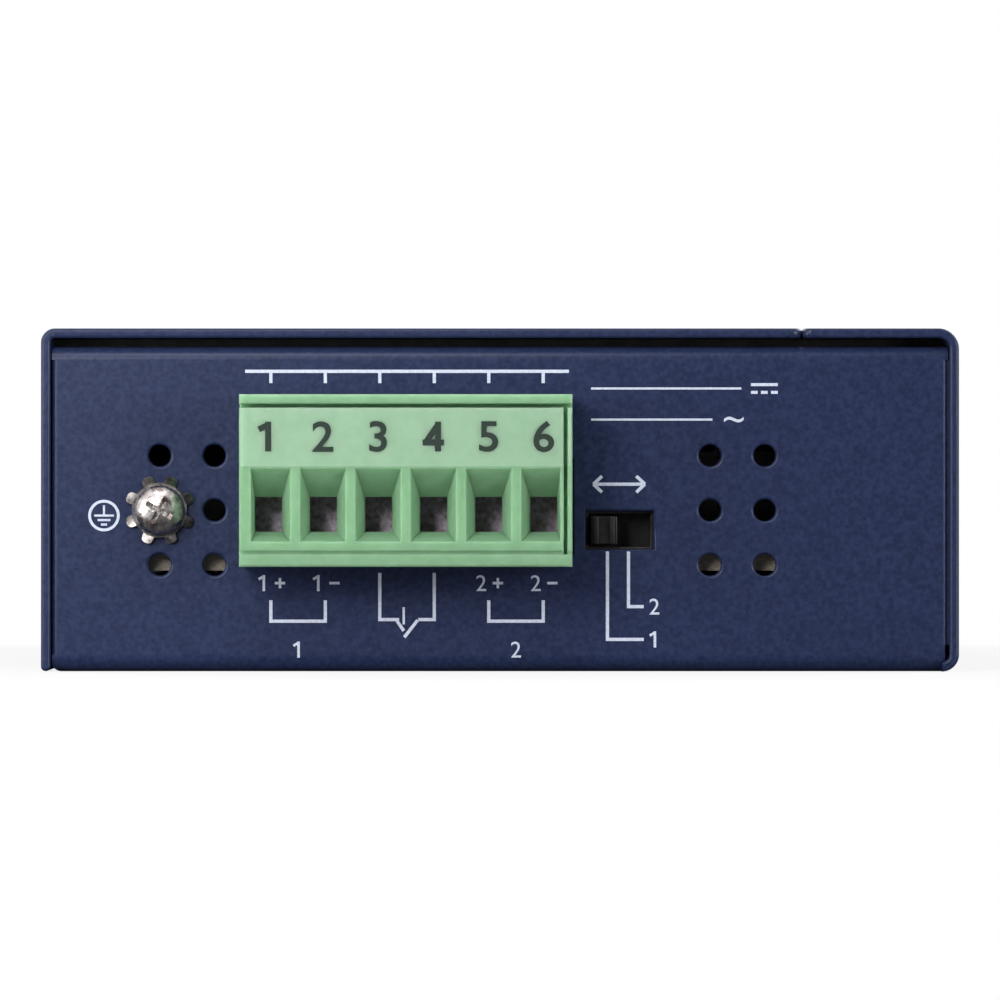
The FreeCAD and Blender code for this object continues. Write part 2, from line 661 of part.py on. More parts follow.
def cover_screws():
    screws = []
    for y, z in cover_screw_places():
        foot = FreeCAD.Vector(-half_width, y, z)
        head = Part.makeCone(SCREW_HEAD_RADIUS, SCREW_RADIUS, SHEET, foot, AXIS_X)
        shank = rod_x(SCREW_RADIUS, -wall_inside, -wall_inside + COVER_SCREW_LENGTH, y, z)
        screw = joined([head, shank])
        recess_reach = SCREW_HEAD_RADIUS / 2
        for dy, dz in ((recess_reach, RECESS_WIDTH / 2), (RECESS_WIDTH / 2, recess_reach)):
            screw = screw.cut(block(-half_width - PAST, -half_width + RECESS_DEPTH,
                                    y - dy, y + dy, z - dz, z + dz))
        screws.append(screw)
    return group(screws)


def clip_nuts():
    nuts = []
    for y, z in clip_places:
        nut = rod_x(NUT_RADIUS, -wall_inside, -wall_inside + NUT_HEIGHT, y, z)
        nuts.append(nut.cut(rod_x(CLIP_HOLE_RADIUS, -wall_inside, -wall_inside + NUT_HEIGHT, y, z)))
    return group(nuts)


# Earth point

def earth_washer():
    plane = -panel_face - WASHER_THICKNESS
    ring = rod_y(WASHER_RING_RADIUS, earth_x, plane, -panel_face, earth_z)
    teeth = []
    for i in range(TOOTH_COUNT):
        tooth = block(EARTH_SHANK_RADIUS + FIT, WASHER_RADIUS, -TOOTH_THICKNESS / 2, TOOTH_THICKNESS / 2,
                      -TOOTH_WIDTH / 2, TOOTH_WIDTH / 2)
        tooth.rotate(FreeCAD.Vector(), AXIS_X, TOOTH_TWIST)
        tooth.rotate(FreeCAD.Vector(), AXIS_Y, (i + 0.5) * 360 / TOOTH_COUNT)
        tooth.translate(FreeCAD.Vector(earth_x, -panel_face - WASHER_THICKNESS / 2, earth_z))
        teeth.append(tooth)
    bore = rod_y(EARTH_SHANK_RADIUS + FIT, earth_x, plane - PAST, -panel_face + PAST, earth_z)
    return joined([ring] + teeth).cut(bore)


def earth_screw():
    seat = -panel_face - WASHER_THICKNESS
    head = rod_y(EARTH_HEAD_RADIUS, earth_x, seat - EARTH_HEAD_HEIGHT, seat, earth_z)
    rim = [edge for edge in head.Edges if edge.CenterOfMass.y < seat - EARTH_HEAD_HEIGHT / 2
           and isinstance(edge.Curve, Part.Circle)]
    head = head.makeFillet(EARTH_HEAD_ROUND, rim)
    tip = -panel_face + EARTH_SHANK_LENGTH
    screw = joined([head, rod_y(EARTH_SHANK_RADIUS, earth_x, seat, tip, earth_z)])
    crown = seat - EARTH_HEAD_HEIGHT
    reach = EARTH_HEAD_RADIUS - EARTH_HEAD_ROUND
    for dx, dz in ((reach, RECESS_WIDTH / 2), (RECESS_WIDTH / 2, reach)):
        bar = block(-dx, dx, crown - PAST, crown + RECESS_DEPTH, -dz, dz)
        bar.rotate(FreeCAD.Vector(), AXIS_Y, EARTH_TURN)
        bar.translate(FreeCAD.Vector(earth_x, 0, earth_z))
        screw = screw.cut(bar)
    return screw


def earth_nut():
    back = -panel_inside + EARTH_NUT_HEIGHT
    nut = rod_y(EARTH_NUT_RADIUS, earth_x, -panel_inside, back, earth_z)
    bore = rod_y(EARTH_SHANK_RADIUS + FIT, earth_x, -panel_inside - PAST, back + PAST, earth_z)
    return nut.cut(bore)


# Board and supports

def main_board():
    board = block(-board_half_x, board_half_x, -board_half_y, board_half_y, board_bottom, board_top)
    below = board_bottom - PAST
    above = board_top + PAST
    holes = [post(SCREW_RADIUS + FIT, x, y, below, above) for x, y in standoff_places]
    holes += [post(PIN_SIDE, x, pin_tail_y, below, above) for x in pole_xs]
    holes += [post(SWITCH_PIN_SIDE, x, switch_pin_y(), below, above) for x in switch_pin_xs()]
    return board.cut(holes)


def board_standoffs():
    posts = []
    hole_bottom = board_top - BOARD_SCREW_LENGTH - PAST
    for x, y in standoff_places:
        shaft = post(STANDOFF_RADIUS, x, y, SHEET, board_bottom)
        posts.append(shaft.cut(post(SCREW_RADIUS + FIT, x, y, hole_bottom, board_bottom + PAST)))
    return group(posts)


def board_screws():
    screws = []
    head_top = board_top + BOARD_HEAD_HEIGHT
    for x, y in standoff_places:
        head = post(BOARD_HEAD_RADIUS, x, y, board_top, head_top)
        shank = post(SCREW_RADIUS, x, y, board_top - BOARD_SCREW_LENGTH, board_top)
        screw = joined([head, shank])
        reach = BOARD_HEAD_RADIUS / 2
        for dx, dy in ((reach, RECESS_WIDTH / 2), (RECESS_WIDTH / 2, reach)):
            screw = screw.cut(block(x - dx, x + dx, y - dy, y + dy, head_top - RECESS_DEPTH, head_top + PAST))
        screws.append(screw)
    return group(screws)


# Screw terminal

def funnel(x):
    """The wire entry of one pole: a tapered mouth, cut short by the end walls, and a straight throat."""
    left = max(x - FUNNEL_WIDTH / 2, plug_left + END_WALL)
    right = min(x + FUNNEL_WIDTH / 2, plug_right - END_WALL)
    mouth = (left, right, funnel_bottom, funnel_bottom + FUNNEL_HEIGHT)
    throat = (x - THROAT_WIDTH / 2, x + THROAT_WIDTH / 2, throat_bottom, throat_bottom + THROAT_HEIGHT)
    throat_y = plug_face + FUNNEL_DEPTH
    inner = block(throat[0], throat[1], throat_y, cage_room_front + PAST, throat[2], throat[3])
    return tapered_hole(mouth, throat, plug_face, throat_y).fuse(inner)


def pole_room(x):
    """The hollow of one pole behind its funnel: cage room, screw well and contact channel."""
    cage_half = CAGE_WIDTH / 2 + RUN_FIT
    bar_half = BAR_WIDTH / 2 + FIT
    cage_room = block(x - cage_half, x + cage_half, cage_room_front, cage_room_back,
                      cage_foot_bottom - RUN_FIT, cage_room_top)
    shank_hole = post(CLAMP_SHANK_RADIUS + RUN_FIT, x, clamp_y, cage_room_top, well_bottom)
    well = post(CLAMP_HEAD_RADIUS + RUN_FIT, x, clamp_y, well_bottom, plug_top + PAST)
    channel = block(x - bar_half, x + bar_half, cage_room_back, nose_tip + PAST,
                    socket_low() - FIT, bar_top + FIT)
    return [cage_room, shank_hole, well, channel]


def socket_low():
    """Underside of the contacts' sockets, which hold the header's pins."""
    return 2 * pin_z - bar_bottom


def terminal_plug():
    body = block(plug_left, plug_right, plug_face, plug_back, plug_bottom, plug_top)
    inset = HEADER_WALL + RUN_FIT
    nose = block(header_left + inset, header_right - inset, plug_back, nose_tip,
                 board_top + inset, header_top - inset)
    body = body.makeFillet(PLUG_ROUND, [edge for edge in body.Edges if edge.BoundBox.YMax < plug_face + TINY])
    tools = []
    for x in pole_xs:
        tools.append(funnel(x))
        tools += pole_room(x)
    groove_floor = plug_face + FACE_GROOVE_DEPTH
    groove_top = plug_top - FACE_GROOVE_DROP
    groove_right = plug_right - SIDE_GROOVE_INSET
    ledge = plug_bottom + LEDGE_RISE
    front = plug_face - PAST
    tools.append(block(plug_left - PAST, plug_right + PAST, front, groove_floor,
                       groove_top - FACE_GROOVE_WIDTH, groove_top))
    tools.append(block(groove_right - FACE_GROOVE_WIDTH, groove_right, front, groove_floor,
                       ledge, groove_top))
    tools.append(block(plug_left - PAST, plug_right + PAST, front, plug_face + LEDGE_DEPTH,
                       ledge, ledge + LEDGE_WIDTH))
    return joined([body, nose]).cut(tools)


def plug_contacts():
    contacts = []
    half = BAR_WIDTH / 2
    socket_front = plug_back + FIT
    tip = nose_tip - FIT
    for x in pole_xs:
        bar = block(x - half, x + half, cage_front + FIT, tip, bar_bottom, bar_top)
        socket = block(x - half, x + half, socket_front, tip, socket_low(), bar_bottom)
        hole = block(x - half + SOCKET_WALL, x + half - SOCKET_WALL, socket_front - PAST, tip + PAST,
                     socket_low() + SOCKET_WALL, bar_bottom - SOCKET_WALL)
        contacts.append(joined([bar, socket]).cut(hole))
    return group(contacts)


def clamp_cage(x):
    half = CAGE_WIDTH / 2
    cage = block(x - half, x + half, cage_front, cage_back, cage_foot_bottom, cage_head_top)
    window = block(x - half + CAGE_SIDE, x + half - CAGE_SIDE, cage_front - PAST, cage_back + PAST,
                   cage_foot_bottom + CAGE_FOOT, cage_head_bottom)
    thread = post(CLAMP_SHANK_RADIUS + RUN_FIT, x, clamp_y, cage_head_bottom - PAST, cage_head_top + PAST)
    return cage.cut([window, thread])


def clamp_screw(x):
    head_bottom = well_bottom + SEAT_GAP
    head_top = head_bottom + CLAMP_HEAD_HEIGHT
    head = post(CLAMP_HEAD_RADIUS, x, clamp_y, head_bottom, head_top)
    shank = post(CLAMP_SHANK_RADIUS, x, clamp_y, bar_top + SEAT_GAP, head_bottom)
    half_slot = CLAMP_SLOT_WIDTH / 2
    slot = block(x - CLAMP_HEAD_RADIUS, x + CLAMP_HEAD_RADIUS, clamp_y - half_slot, clamp_y + half_slot,
                 head_top - CLAMP_SLOT_DEPTH, head_top + PAST)
    return joined([head, shank]).cut(slot)


def terminal_header():
    body = block(header_left, header_right, header_front, header_back, board_top, header_top)
    cavity = block(header_left + HEADER_WALL, header_right - HEADER_WALL, header_front - PAST, header_floor,
                   board_top + HEADER_WALL, header_top - HEADER_WALL)
    half = PIN_SIDE / 2 + FIT
    holes = [block(x - half, x + half, header_floor - PAST, header_back + PAST, pin_z - half, pin_z + half)
             for x in pole_xs]
    return body.cut([cavity] + holes)


def header_pins():
    pins = []
    half = PIN_SIDE / 2
    for x in pole_xs:
        bar = block(x - half, x + half, pin_tip, pin_tail_y + half, pin_z - half, pin_z + half)
        tail = block(x - half, x + half, pin_tail_y - half, pin_tail_y + half, board_bottom - PIN_DROP, pin_z)
        pins.append(joined([bar, tail]))
    return group(pins)


# Slide switch

def switch_pin_xs():
    return [switch_x + (i - (SWITCH_PINS - 1) / 2) * SWITCH_PIN_PITCH for i in range(SWITCH_PINS)]


def switch_pin_y():
    return (switch_front + KNOB_DEPTH + switch_back) / 2


def switch_body():
    body = block(switch_left, switch_right, switch_front, switch_back, board_top, board_top + SWITCH_HEIGHT)
    reach = KNOB_HEIGHT / 2 + RUN_FIT
    slot = block(knob_left - RUN_FIT, knob_right + KNOB_TRAVEL + RUN_FIT, switch_front - PAST,
                 switch_front + KNOB_DEPTH + RUN_FIT, switch_z - reach, switch_z + reach)
    return body.cut(slot)


def switch_pins():
    half = SWITCH_PIN_SIDE / 2
    y = switch_pin_y()
    return group([block(x - half, x + half, y - half, y + half, board_bottom - PIN_DROP, board_top)
                  for x in switch_pin_xs()])


def switch_knob():
    face = -(panel_face + KNOB_PROUD)
    knob = block(knob_left, knob_right, face + RIB_HEIGHT, switch_front + KNOB_DEPTH,
                 switch_z - KNOB_HEIGHT / 2, switch_z + KNOB_HEIGHT / 2)
    ribs = []
    for i in range(RIB_COUNT):
        left = (knob_left + knob_right - RIB_WIDTH) / 2 + (i - (RIB_COUNT - 1) / 2) * RIB_PITCH
        ribs.append(block(left, left + RIB_WIDTH, face, face + RIB_HEIGHT,
                          switch_z - KNOB_HEIGHT / 2, switch_z + KNOB_HEIGHT / 2))
    return joined([knob] + ribs)


# Ports

def fibre_cage(y):
    half = FIBRE_WIDTH / 2
    shell = block(fibre_back, port_front, y - half, y + half, board_top, fibre_top)
    inside = half - FIBRE_WALL
    hollow = block(fibre_back + FIBRE_WALL, port_front + PAST, y - inside, y + inside,
                   board_top + FIBRE_WALL, fibre_top - FIBRE_WALL)
    foot = block(fibre_back + FIBRE_WALL, connector_front + FIT, y - inside, y + inside,
                 board_top - PAST, board_top + FIBRE_WALL)
    return shell.cut([hollow, foot])


def fibre_connectors():
    connectors = []
    back = fibre_back + FIBRE_WALL + FIT
    half = FIBRE_WIDTH / 2 - FIBRE_WALL - CONNECTOR_SIDE
    for y in fibre_ys:
        body = block(back, connector_front, y - half, y + half, board_top, board_top + CONNECTOR_HEIGHT)
        middle = board_top + CONNECTOR_HEIGHT / 2
        slot = block(connector_front - CARD_SLOT_DEPTH, connector_front + PAST,
                     y - CARD_SLOT_WIDTH / 2, y + CARD_SLOT_WIDTH / 2,
                     middle - CARD_SLOT_HEIGHT / 2, middle + CARD_SLOT_HEIGHT / 2)
        connectors.append(body.cut(slot))
    return group(connectors)


def lan_jack_shell():
    half = LAN_WIDTH / 2
    shell = block(lan_back, port_front, LAN_Y - half, LAN_Y + half, board_top, lan_top)
    inside = half - LAN_SHELL
    hollow = block(lan_back + LAN_SHELL, port_front + PAST, LAN_Y - inside, LAN_Y + inside,
                   board_top - PAST, lan_top - LAN_SHELL)
    return shell.cut(hollow)


def lan_contact_ys():
    return [LAN_Y + (i - (LAN_CONTACTS - 1) / 2) * CONTACT_PITCH for i in range(LAN_CONTACTS)]


def lan_jack_insert():
    half = LAN_WIDTH / 2 - LAN_SHELL - FIT
    body = block(lan_back + LAN_SHELL + FIT, lan_plastic_front, LAN_Y - half, LAN_Y + half,
                 board_top, lan_top - LAN_SHELL - FIT)
    front = lan_plastic_front + PAST
    socket = block(socket_back, front, LAN_Y - SOCKET_WIDTH / 2, LAN_Y + SOCKET_WIDTH / 2,
                   socket_bottom, socket_top)
    latch = block(socket_back, front, LAN_Y - LATCH_WIDTH / 2, LAN_Y + LATCH_WIDTH / 2,
                  socket_bottom - LATCH_DROP, socket_bottom)
    slot_half = CONTACT_WIDTH / 2 + FIT
    slots = [block(socket_back - CONTACT_TAIL - FIT, socket_back, y - slot_half, y + slot_half,
                   contact_z - CONTACT_THICKNESS - FIT, contact_z + FIT) for y in lan_contact_ys()]
    return body.cut([socket, latch] + slots)


def lan_jack_contacts():
    tip = lan_plastic_front - CONTACT_SETBACK
    path = [(tip - CONTACT_SPRING, contact_z - CONTACT_THICKNESS - CONTACT_DIP), (tip, contact_z),
            (socket_back - CONTACT_TAIL, contact_z)]
    half = CONTACT_WIDTH / 2
    return group([strip_in_xz(path, [0], CONTACT_THICKNESS, y - half, y + half) for y in lan_contact_ys()])


def light_pipes():
    return group([rod_x(PIPE_RADIUS, led_front + FIT, half_width + PIPE_PROUD, y, led_z) for y in led_ys])


def indicator_leds():
    size = (LED_SIDE, LED_SIDE, LED_SIDE)
    return group([standing_block(led_front - LED_SIDE / 2, y, size, board_top) for y in led_ys])


# Parts on the board

def leaded_package(place, size, sides):
    """A moulded body with rows of leads on its X sides, its Y sides or both."""
    x, y = place
    width, depth, height = size
    pieces = [standing_block(x, y, size, board_top)]
    for side in sides:
        along, across = (depth, width) if side == "x" else (width, depth)
        count = int((along - LEAD_WIDTH) / LEAD_PITCH)
        for i in range(count):
            offset = (i - (count - 1) / 2) * LEAD_PITCH
            for sign in (-1, 1):
                middle = sign * (across + LEAD_REACH) / 2
                if side == "x":
                    foot = (LEAD_REACH, LEAD_WIDTH, LEAD_THICKNESS)
                    pieces.append(standing_block(x + middle, y + offset, foot, board_top))
                else:
                    foot = (LEAD_WIDTH, LEAD_REACH, LEAD_THICKNESS)
                    pieces.append(standing_block(x + offset, y + middle, foot, board_top))
    return joined(pieces)


def alarm_relay():
    case = standing_block(relay_place[0], relay_place[1], RELAY_SIZE, board_top)
    upper = [edge for edge in case.Edges if edge.CenterOfMass.z > board_top + RELAY_SIZE[2] / 4]
    return case.makeFillet(RELAY_ROUND, upper)


def choke_ring(room):
    x, y = choke_place
    base = board_top + WINDING_THICKNESS + FIT - room
    top = base + CHOKE_HEIGHT + 2 * room
    ring = post(CHOKE_RADIUS + room, x, y, base, top)
    return ring.cut(post(CHOKE_BORE_RADIUS - room, x, y, base, top))


def choke_windings():
    x, y = choke_place
    height = CHOKE_HEIGHT + 2 * (WINDING_THICKNESS + FIT)
    winding_bore = CHOKE_BORE_RADIUS - WINDING_THICKNESS - FIT
    windings = []
    for turn in (0, 180):
        foot = FreeCAD.Vector(x, y, board_top)
        sector = Part.makeCylinder(choke_reach, height, foot, AXIS_Z, WINDING_SPAN)
        sector = sector.cut(post(winding_bore, x, y, board_top, board_top + height))
        sector.rotate(foot, AXIS_Z, turn - WINDING_SPAN / 2)
        windings.append(sector.cut(choke_ring(FIT)))
    return group(windings)


def transformer_core():
    x, y = core_place
    core = standing_block(x, y, (CORE_WIDTH, CORE_DEPTH, CORE_HEIGHT), board_top)
    window = (window_width(), CORE_DEPTH + PAST, CORE_HEIGHT - 2 * CORE_YOKE)
    windows = []
    for sign in (-1, 1):
        centre = x + sign * (CORE_LEG + window_width()) / 2
        windows.append(standing_block(centre, y, window, board_top + CORE_YOKE))
    return core.cut(windows)


def window_width():
    """Room for the winding between the core's middle leg and an outer leg of half its width."""
    return (CORE_WIDTH - 2 * CORE_LEG) / 2


def transformer_bobbin():
    x, y = core_place
    height = CORE_HEIGHT - 2 * CORE_YOKE - 2 * FIT
    base = board_top + CORE_YOKE + FIT
    outer = standing_block(x, y, (CORE_LEG + 2 * window_width() - 2 * FIT, BOBBIN_DEPTH, height), base)
    return outer.cut(standing_block(x, y, (CORE_LEG + 2 * FIT, CORE_DEPTH + 2 * FIT, height), base))


def bulk_capacitors():
    cans = []
    for x, y in capacitor_places:
        can = post(CAPACITOR_RADIUS, x, y, board_top, board_top + CAPACITOR_HEIGHT)
        rim = [edge for edge in can.Edges if isinstance(edge.Curve, Part.Circle)
               and edge.CenterOfMass.z > board_top + CAPACITOR_HEIGHT / 2]
        crimp_z = board_top + CAPACITOR_CRIMP_RISE
        crimp = Part.makeTorus(CAPACITOR_RADIUS + CAPACITOR_CRIMP_DEPTH / 2, CAPACITOR_CRIMP_DEPTH,
                               FreeCAD.Vector(x, y, crimp_z), AXIS_Z)
        cans.append(can.makeFillet(CAPACITOR_ROUND, rim).cut(crimp))
    return group(cans)


def power_inductor():
    block_shape = standing_block(inductor_place[0], inductor_place[1], INDUCTOR_SIZE, board_top)
    return block_shape.makeChamfer(INDUCTOR_CHAMFER, edges_along(block_shape, AXIS_Z, lambda p: True))


def fuse():
    x, y = fuse_place
    return post(FUSE_RADIUS, x, y, board_top, board_top + FUSE_HEIGHT)


def crystal_can():
    can = standing_block(crystal_place[0], crystal_place[1], CRYSTAL_SIZE, board_top)
    return can.makeFillet(CRYSTAL_ROUND, edges_along(can, AXIS_Z, lambda p: True))


def heat_sink():
    x, y = chip_place
    base = board_top + CHIP_SIZE[2]
    pieces = [standing_block(x, y, (SINK_SIDE, SINK_SIDE, SINK_BASE), base)]
    fin = (SINK_FIN_THICKNESS, SINK_SIDE, SINK_FIN_HEIGHT)
    reach = (SINK_SIDE - SINK_FIN_THICKNESS) / 2
    for i in range(SINK_FINS):
        fin_x = x - reach + i * 2 * reach / (SINK_FINS - 1)
        pieces.append(standing_block(fin_x, y, fin, base + SINK_BASE))
    return joined(pieces)


def all_parts():
    parts = {
        "base_chassis": base_chassis(),
        "cover": cover(),
        "cover_screws": cover_screws(),
        "clip_nuts": clip_nuts(),
        "earth_screw": earth_screw(),
        "earth_washer": earth_washer(),
        "earth_nut": earth_nut(),
        "main_board": main_board(),
        "board_standoffs": board_standoffs(),
        "board_screws": board_screws(),
        "terminal_header": terminal_header(),
        "header_pins": header_pins(),
        "terminal_plug": terminal_plug(),
        "plug_contacts": plug_contacts(),
        "switch_body": switch_body(),
        "switch_pins": switch_pins(),
        "switch_knob": switch_knob(),
        "fibre_connectors": fibre_connectors(),
        "lan_jack_shell": lan_jack_shell(),
        "lan_jack_insert": lan_jack_insert(),
        "lan_jack_contacts": lan_jack_contacts(),
        "light_pipes": light_pipes(),
        "indicator_leds": indicator_leds(),
        "alarm_relay": alarm_relay(),
        "choke_core": choke_ring(0),
        "choke_windings": choke_windings(),
        "transformer_core": transformer_core(),
        "transformer_bobbin": transformer_bobbin(),
        "bulk_capacitors": bulk_capacitors(),
        "power_inductor": power_inductor(),
        "bridge_rectifier": leaded_package(bridge_place, BRIDGE_SIZE, "x"),
        "surge_suppressor": leaded_package(suppressor_place, SUPPRESSOR_SIZE, "x"),
        "input_fuse": fuse(),
        "main_chip": leaded_package(chip_place, CHIP_SIZE, "xy"),
        "heat_sink": heat_sink(),
        "memory_chip": leaded_package(memory_place, MEMORY_SIZE, "x"),
        "crystal_can": crystal_can(),
        "lan_transformer": leaded_package(magnetics_place, MAGNETICS_SIZE, "x"),
    }
    for i, x in enumerate(pole_xs, 1):
        parts[f"clamp_screw_{i}"] = clamp_screw(x)
        parts[f"clamp_cage_{i}"] = clamp_cage(x)
    for i, y in enumerate(fibre_ys, 1):
        parts[f"fibre_cage_{i}"] = fibre_cage(y)
    return parts


os.makedirs("parts", exist_ok=True)
for name, shape in all_parts().items():
    shape.exportStep(f"parts/{name}.step")
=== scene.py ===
import bpy
import bmesh
import json
import math
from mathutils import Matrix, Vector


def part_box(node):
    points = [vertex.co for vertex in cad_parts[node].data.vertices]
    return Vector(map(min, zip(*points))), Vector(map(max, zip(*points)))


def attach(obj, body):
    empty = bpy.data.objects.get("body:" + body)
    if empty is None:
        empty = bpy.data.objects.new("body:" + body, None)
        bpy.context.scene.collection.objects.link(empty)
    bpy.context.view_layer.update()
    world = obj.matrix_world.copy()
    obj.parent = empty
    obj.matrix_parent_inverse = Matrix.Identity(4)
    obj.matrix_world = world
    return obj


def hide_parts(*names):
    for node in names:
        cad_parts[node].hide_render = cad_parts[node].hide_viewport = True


# Looks of an industrial media converter: a folded, powder-coated steel box with a pluggable screw
# terminal, an earth screw and a slide switch on its power panel and data ports on one long wall.
# All sizes are in metres, in the frame of the solids.

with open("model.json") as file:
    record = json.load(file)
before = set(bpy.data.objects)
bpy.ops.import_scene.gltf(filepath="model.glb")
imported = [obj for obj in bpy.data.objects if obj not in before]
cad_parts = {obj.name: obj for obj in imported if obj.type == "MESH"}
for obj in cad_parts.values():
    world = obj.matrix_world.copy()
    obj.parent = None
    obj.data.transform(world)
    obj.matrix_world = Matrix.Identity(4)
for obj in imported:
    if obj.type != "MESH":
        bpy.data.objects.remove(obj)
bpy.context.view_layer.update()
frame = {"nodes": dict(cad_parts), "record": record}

MM = 0.001
MERGE_DISTANCE = 0.002 * MM
NEAR = 0.01 * MM
FLAT_ANGLE = math.radians(0.6)
EDGE_ANGLE = math.radians(35)
SMOOTH_ANGLE = math.radians(50)

# Places read from the solids, with the sheets' own sizes
CHASSIS_LOW, CHASSIS_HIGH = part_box("base_chassis")
COVER_LOW, COVER_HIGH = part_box("cover")
PANEL_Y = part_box("earth_washer")[1].y
PLUG_LOW, PLUG_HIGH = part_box("terminal_plug")
PLUG_FACE_Y = PLUG_LOW.y
PORT_WALL_X = CHASSIS_HIGH.x
SHEET = 0.9 * MM
TAB_REACH = 6.0 * MM
SEAM_WIDTH = 0.1 * MM
LIP_EDGE_X = COVER_HIGH.x - TAB_REACH
SEAM_X = LIP_EDGE_X - SEAM_WIDTH / 2
POLES = range(1, 7)

# Field for the pole numbers on the plug's face, between the funnels and the groove under its top, where a
# paler painted sheen lies
FIELD_LOW = PLUG_LOW.z + 9.25 * MM
FIELD_HIGH = PLUG_HIGH.z - 1.23 * MM

# Ink
INK_THICKNESS = 0.03 * MM
INK_SUNK = 0.01 * MM
LINE_WIDTH = 0.3 * MM
LAYER = 0.5 * INK_SUNK      # strokes that cross lie at different depths


def centre_of(node):
    low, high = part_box(node)
    return (low + high) / 2


POLE_X = {pole: centre_of(f"clamp_screw_{pole}").x for pole in POLES}
EARTH = centre_of("earth_screw")
SWITCH = centre_of("switch_body")


# Selecting, joining and finishing meshes

def choose(*objects):
    """Selects these objects alone, with the first one active."""
    bpy.ops.object.select_all(action="DESELECT")
    for obj in objects:
        obj.select_set(True)
    bpy.context.view_layer.objects.active = objects[0]


def join(objects, name):
    choose(*objects)
    bpy.ops.object.join()
    piece = bpy.context.object
    piece.name = name
    piece.data.name = name
    return piece


def settle(piece):
    """Puts the place, turn and size of an object into its mesh."""
    choose(piece)
    bpy.ops.object.transform_apply(location=True, rotation=True, scale=True)
    return piece


def block(middle, size):
    """A plain block of the given size around a place, to be shaped further."""
    bpy.ops.object.select_all(action="DESELECT")
    bpy.ops.mesh.primitive_cube_add(size=1, location=middle, scale=size)
    return settle(bpy.context.object)


def fair_copy(node, name):
    """A merged copy of a solid's mesh in which each flat face is whole again."""
    piece = bpy.data.objects.new(name, frame["nodes"][node].data.copy())
    bpy.context.scene.collection.objects.link(piece)
    choose(piece)
    bpy.ops.mesh.customdata_custom_splitnormals_clear()
    bpy.ops.object.mode_set(mode="EDIT")
    bpy.ops.mesh.select_all(action="SELECT")
    bpy.ops.mesh.remove_doubles(threshold=MERGE_DISTANCE)
    bpy.ops.mesh.dissolve_limited(angle_limit=FLAT_ANGLE)
    bpy.ops.object.mode_set(mode="OBJECT")
    return piece


def every_edge(ends):
    return True


def round_edges(piece, width, where=every_edge):
    """Rounds the sharp outer edges that pass a test."""
    choose(piece)
    bpy.ops.object.mode_set(mode="EDIT")
    bpy.ops.mesh.select_mode(type="EDGE")
    bpy.ops.mesh.select_all(action="DESELECT")
    mesh = bmesh.from_edit_mesh(piece.data)
    for edge in mesh.edges:
        sharp = edge.is_manifold and edge.is_convex and edge.calc_face_angle() > EDGE_ANGLE
        edge.select_set(sharp and where([vertex.co for vertex in edge.verts]))
    bmesh.update_edit_mesh(piece.data)
    bpy.ops.mesh.bevel(offset=width, segments=3, affect="EDGES", clamp_overlap=where is every_edge)
    bpy.ops.object.mode_set(mode="OBJECT")


def shade(piece):
    """Smooth shading that keeps flat faces flat."""
    choose(piece)
    bpy.ops.object.shade_smooth_by_angle(angle=SMOOTH_ANGLE)
    weighting = piece.modifiers.new("normals", "WEIGHTED_NORMAL")
    weighting.keep_sharp = True
    bpy.ops.object.modifier_apply(modifier=weighting.name)
    return piece


def paint(piece, material):
    piece.data.materials.clear()
    piece.data.materials.append(material)


# Materials

def new_material(name):
    material = bpy.data.materials.new(name)
    material.use_nodes = True
    return material, material.node_tree, material.node_tree.nodes["Principled BSDF"]


def grain(tree, size, detail=2.0, stretch=(1, 1, 1)):
    """Noise on the piece's own coordinates, with features of about the given size."""
    place = tree.nodes.new("ShaderNodeTexCoord")
    mapping = tree.nodes.new("ShaderNodeMapping")
    mapping.inputs["Scale"].default_value = stretch
    noise = tree.nodes.new("ShaderNodeTexNoise")
    noise.inputs["Scale"].default_value = 1 / size
    noise.inputs["Detail"].default_value = detail
    tree.links.new(place.outputs["Object"], mapping.inputs["Vector"])
    tree.links.new(mapping.outputs["Vector"], noise.inputs["Vector"])
    return noise.outputs["Fac"]


def tones(tree, value, dark, light, low=0.35, high=0.65):
    """Colours between two tones as a value runs from low to high."""
    ramp = tree.nodes.new("ShaderNodeValToRGB")
    ramp.color_ramp.elements[0].position = low
    ramp.color_ramp.elements[0].color = (*dark, 1)
    ramp.color_ramp.elements[1].position = high
    ramp.color_ramp.elements[1].color = (*light, 1)
    tree.links.new(value, ramp.inputs["Fac"])
    return ramp.outputs["Color"]


def spread(tree, value, low, high):
    """A value from 0 to 1 turned into a range."""
    scale = tree.nodes.new("ShaderNodeMapRange")
    scale.inputs["To Min"].default_value = low
    scale.inputs["To Max"].default_value = high
    tree.links.new(value, scale.inputs["Value"])
    return scale.outputs["Result"]


def relief(tree, shader, value, depth):
    """A bump of the given depth."""
    bump = tree.nodes.new("ShaderNodeBump")
    bump.inputs["Strength"].default_value = 1.0
    bump.inputs["Distance"].default_value = depth
    tree.links.new(value, bump.inputs["Height"])
    tree.links.new(bump.outputs["Normal"], shader.inputs["Normal"])


def powder_coat():
    """Textured coat: soft blotches of two blues over a fine pebbled relief."""
    material, tree, shader = new_material("navy_powder_coat")
    blotch = grain(tree, 0.42 * MM, detail=3.0)
    colour = tones(tree, blotch, (0.0134, 0.0206, 0.0578), (0.0212, 0.0316, 0.085), 0.34, 0.66)
    tree.links.new(colour, shader.inputs["Base Color"])
    tree.links.new(spread(tree, blotch, 0.25, 0.41), shader.inputs["Roughness"])
    shader.inputs["Specular IOR Level"].default_value = 0.24
    relief(tree, shader, grain(tree, 0.45 * MM, detail=2.0), 0.014 * MM)
    return material


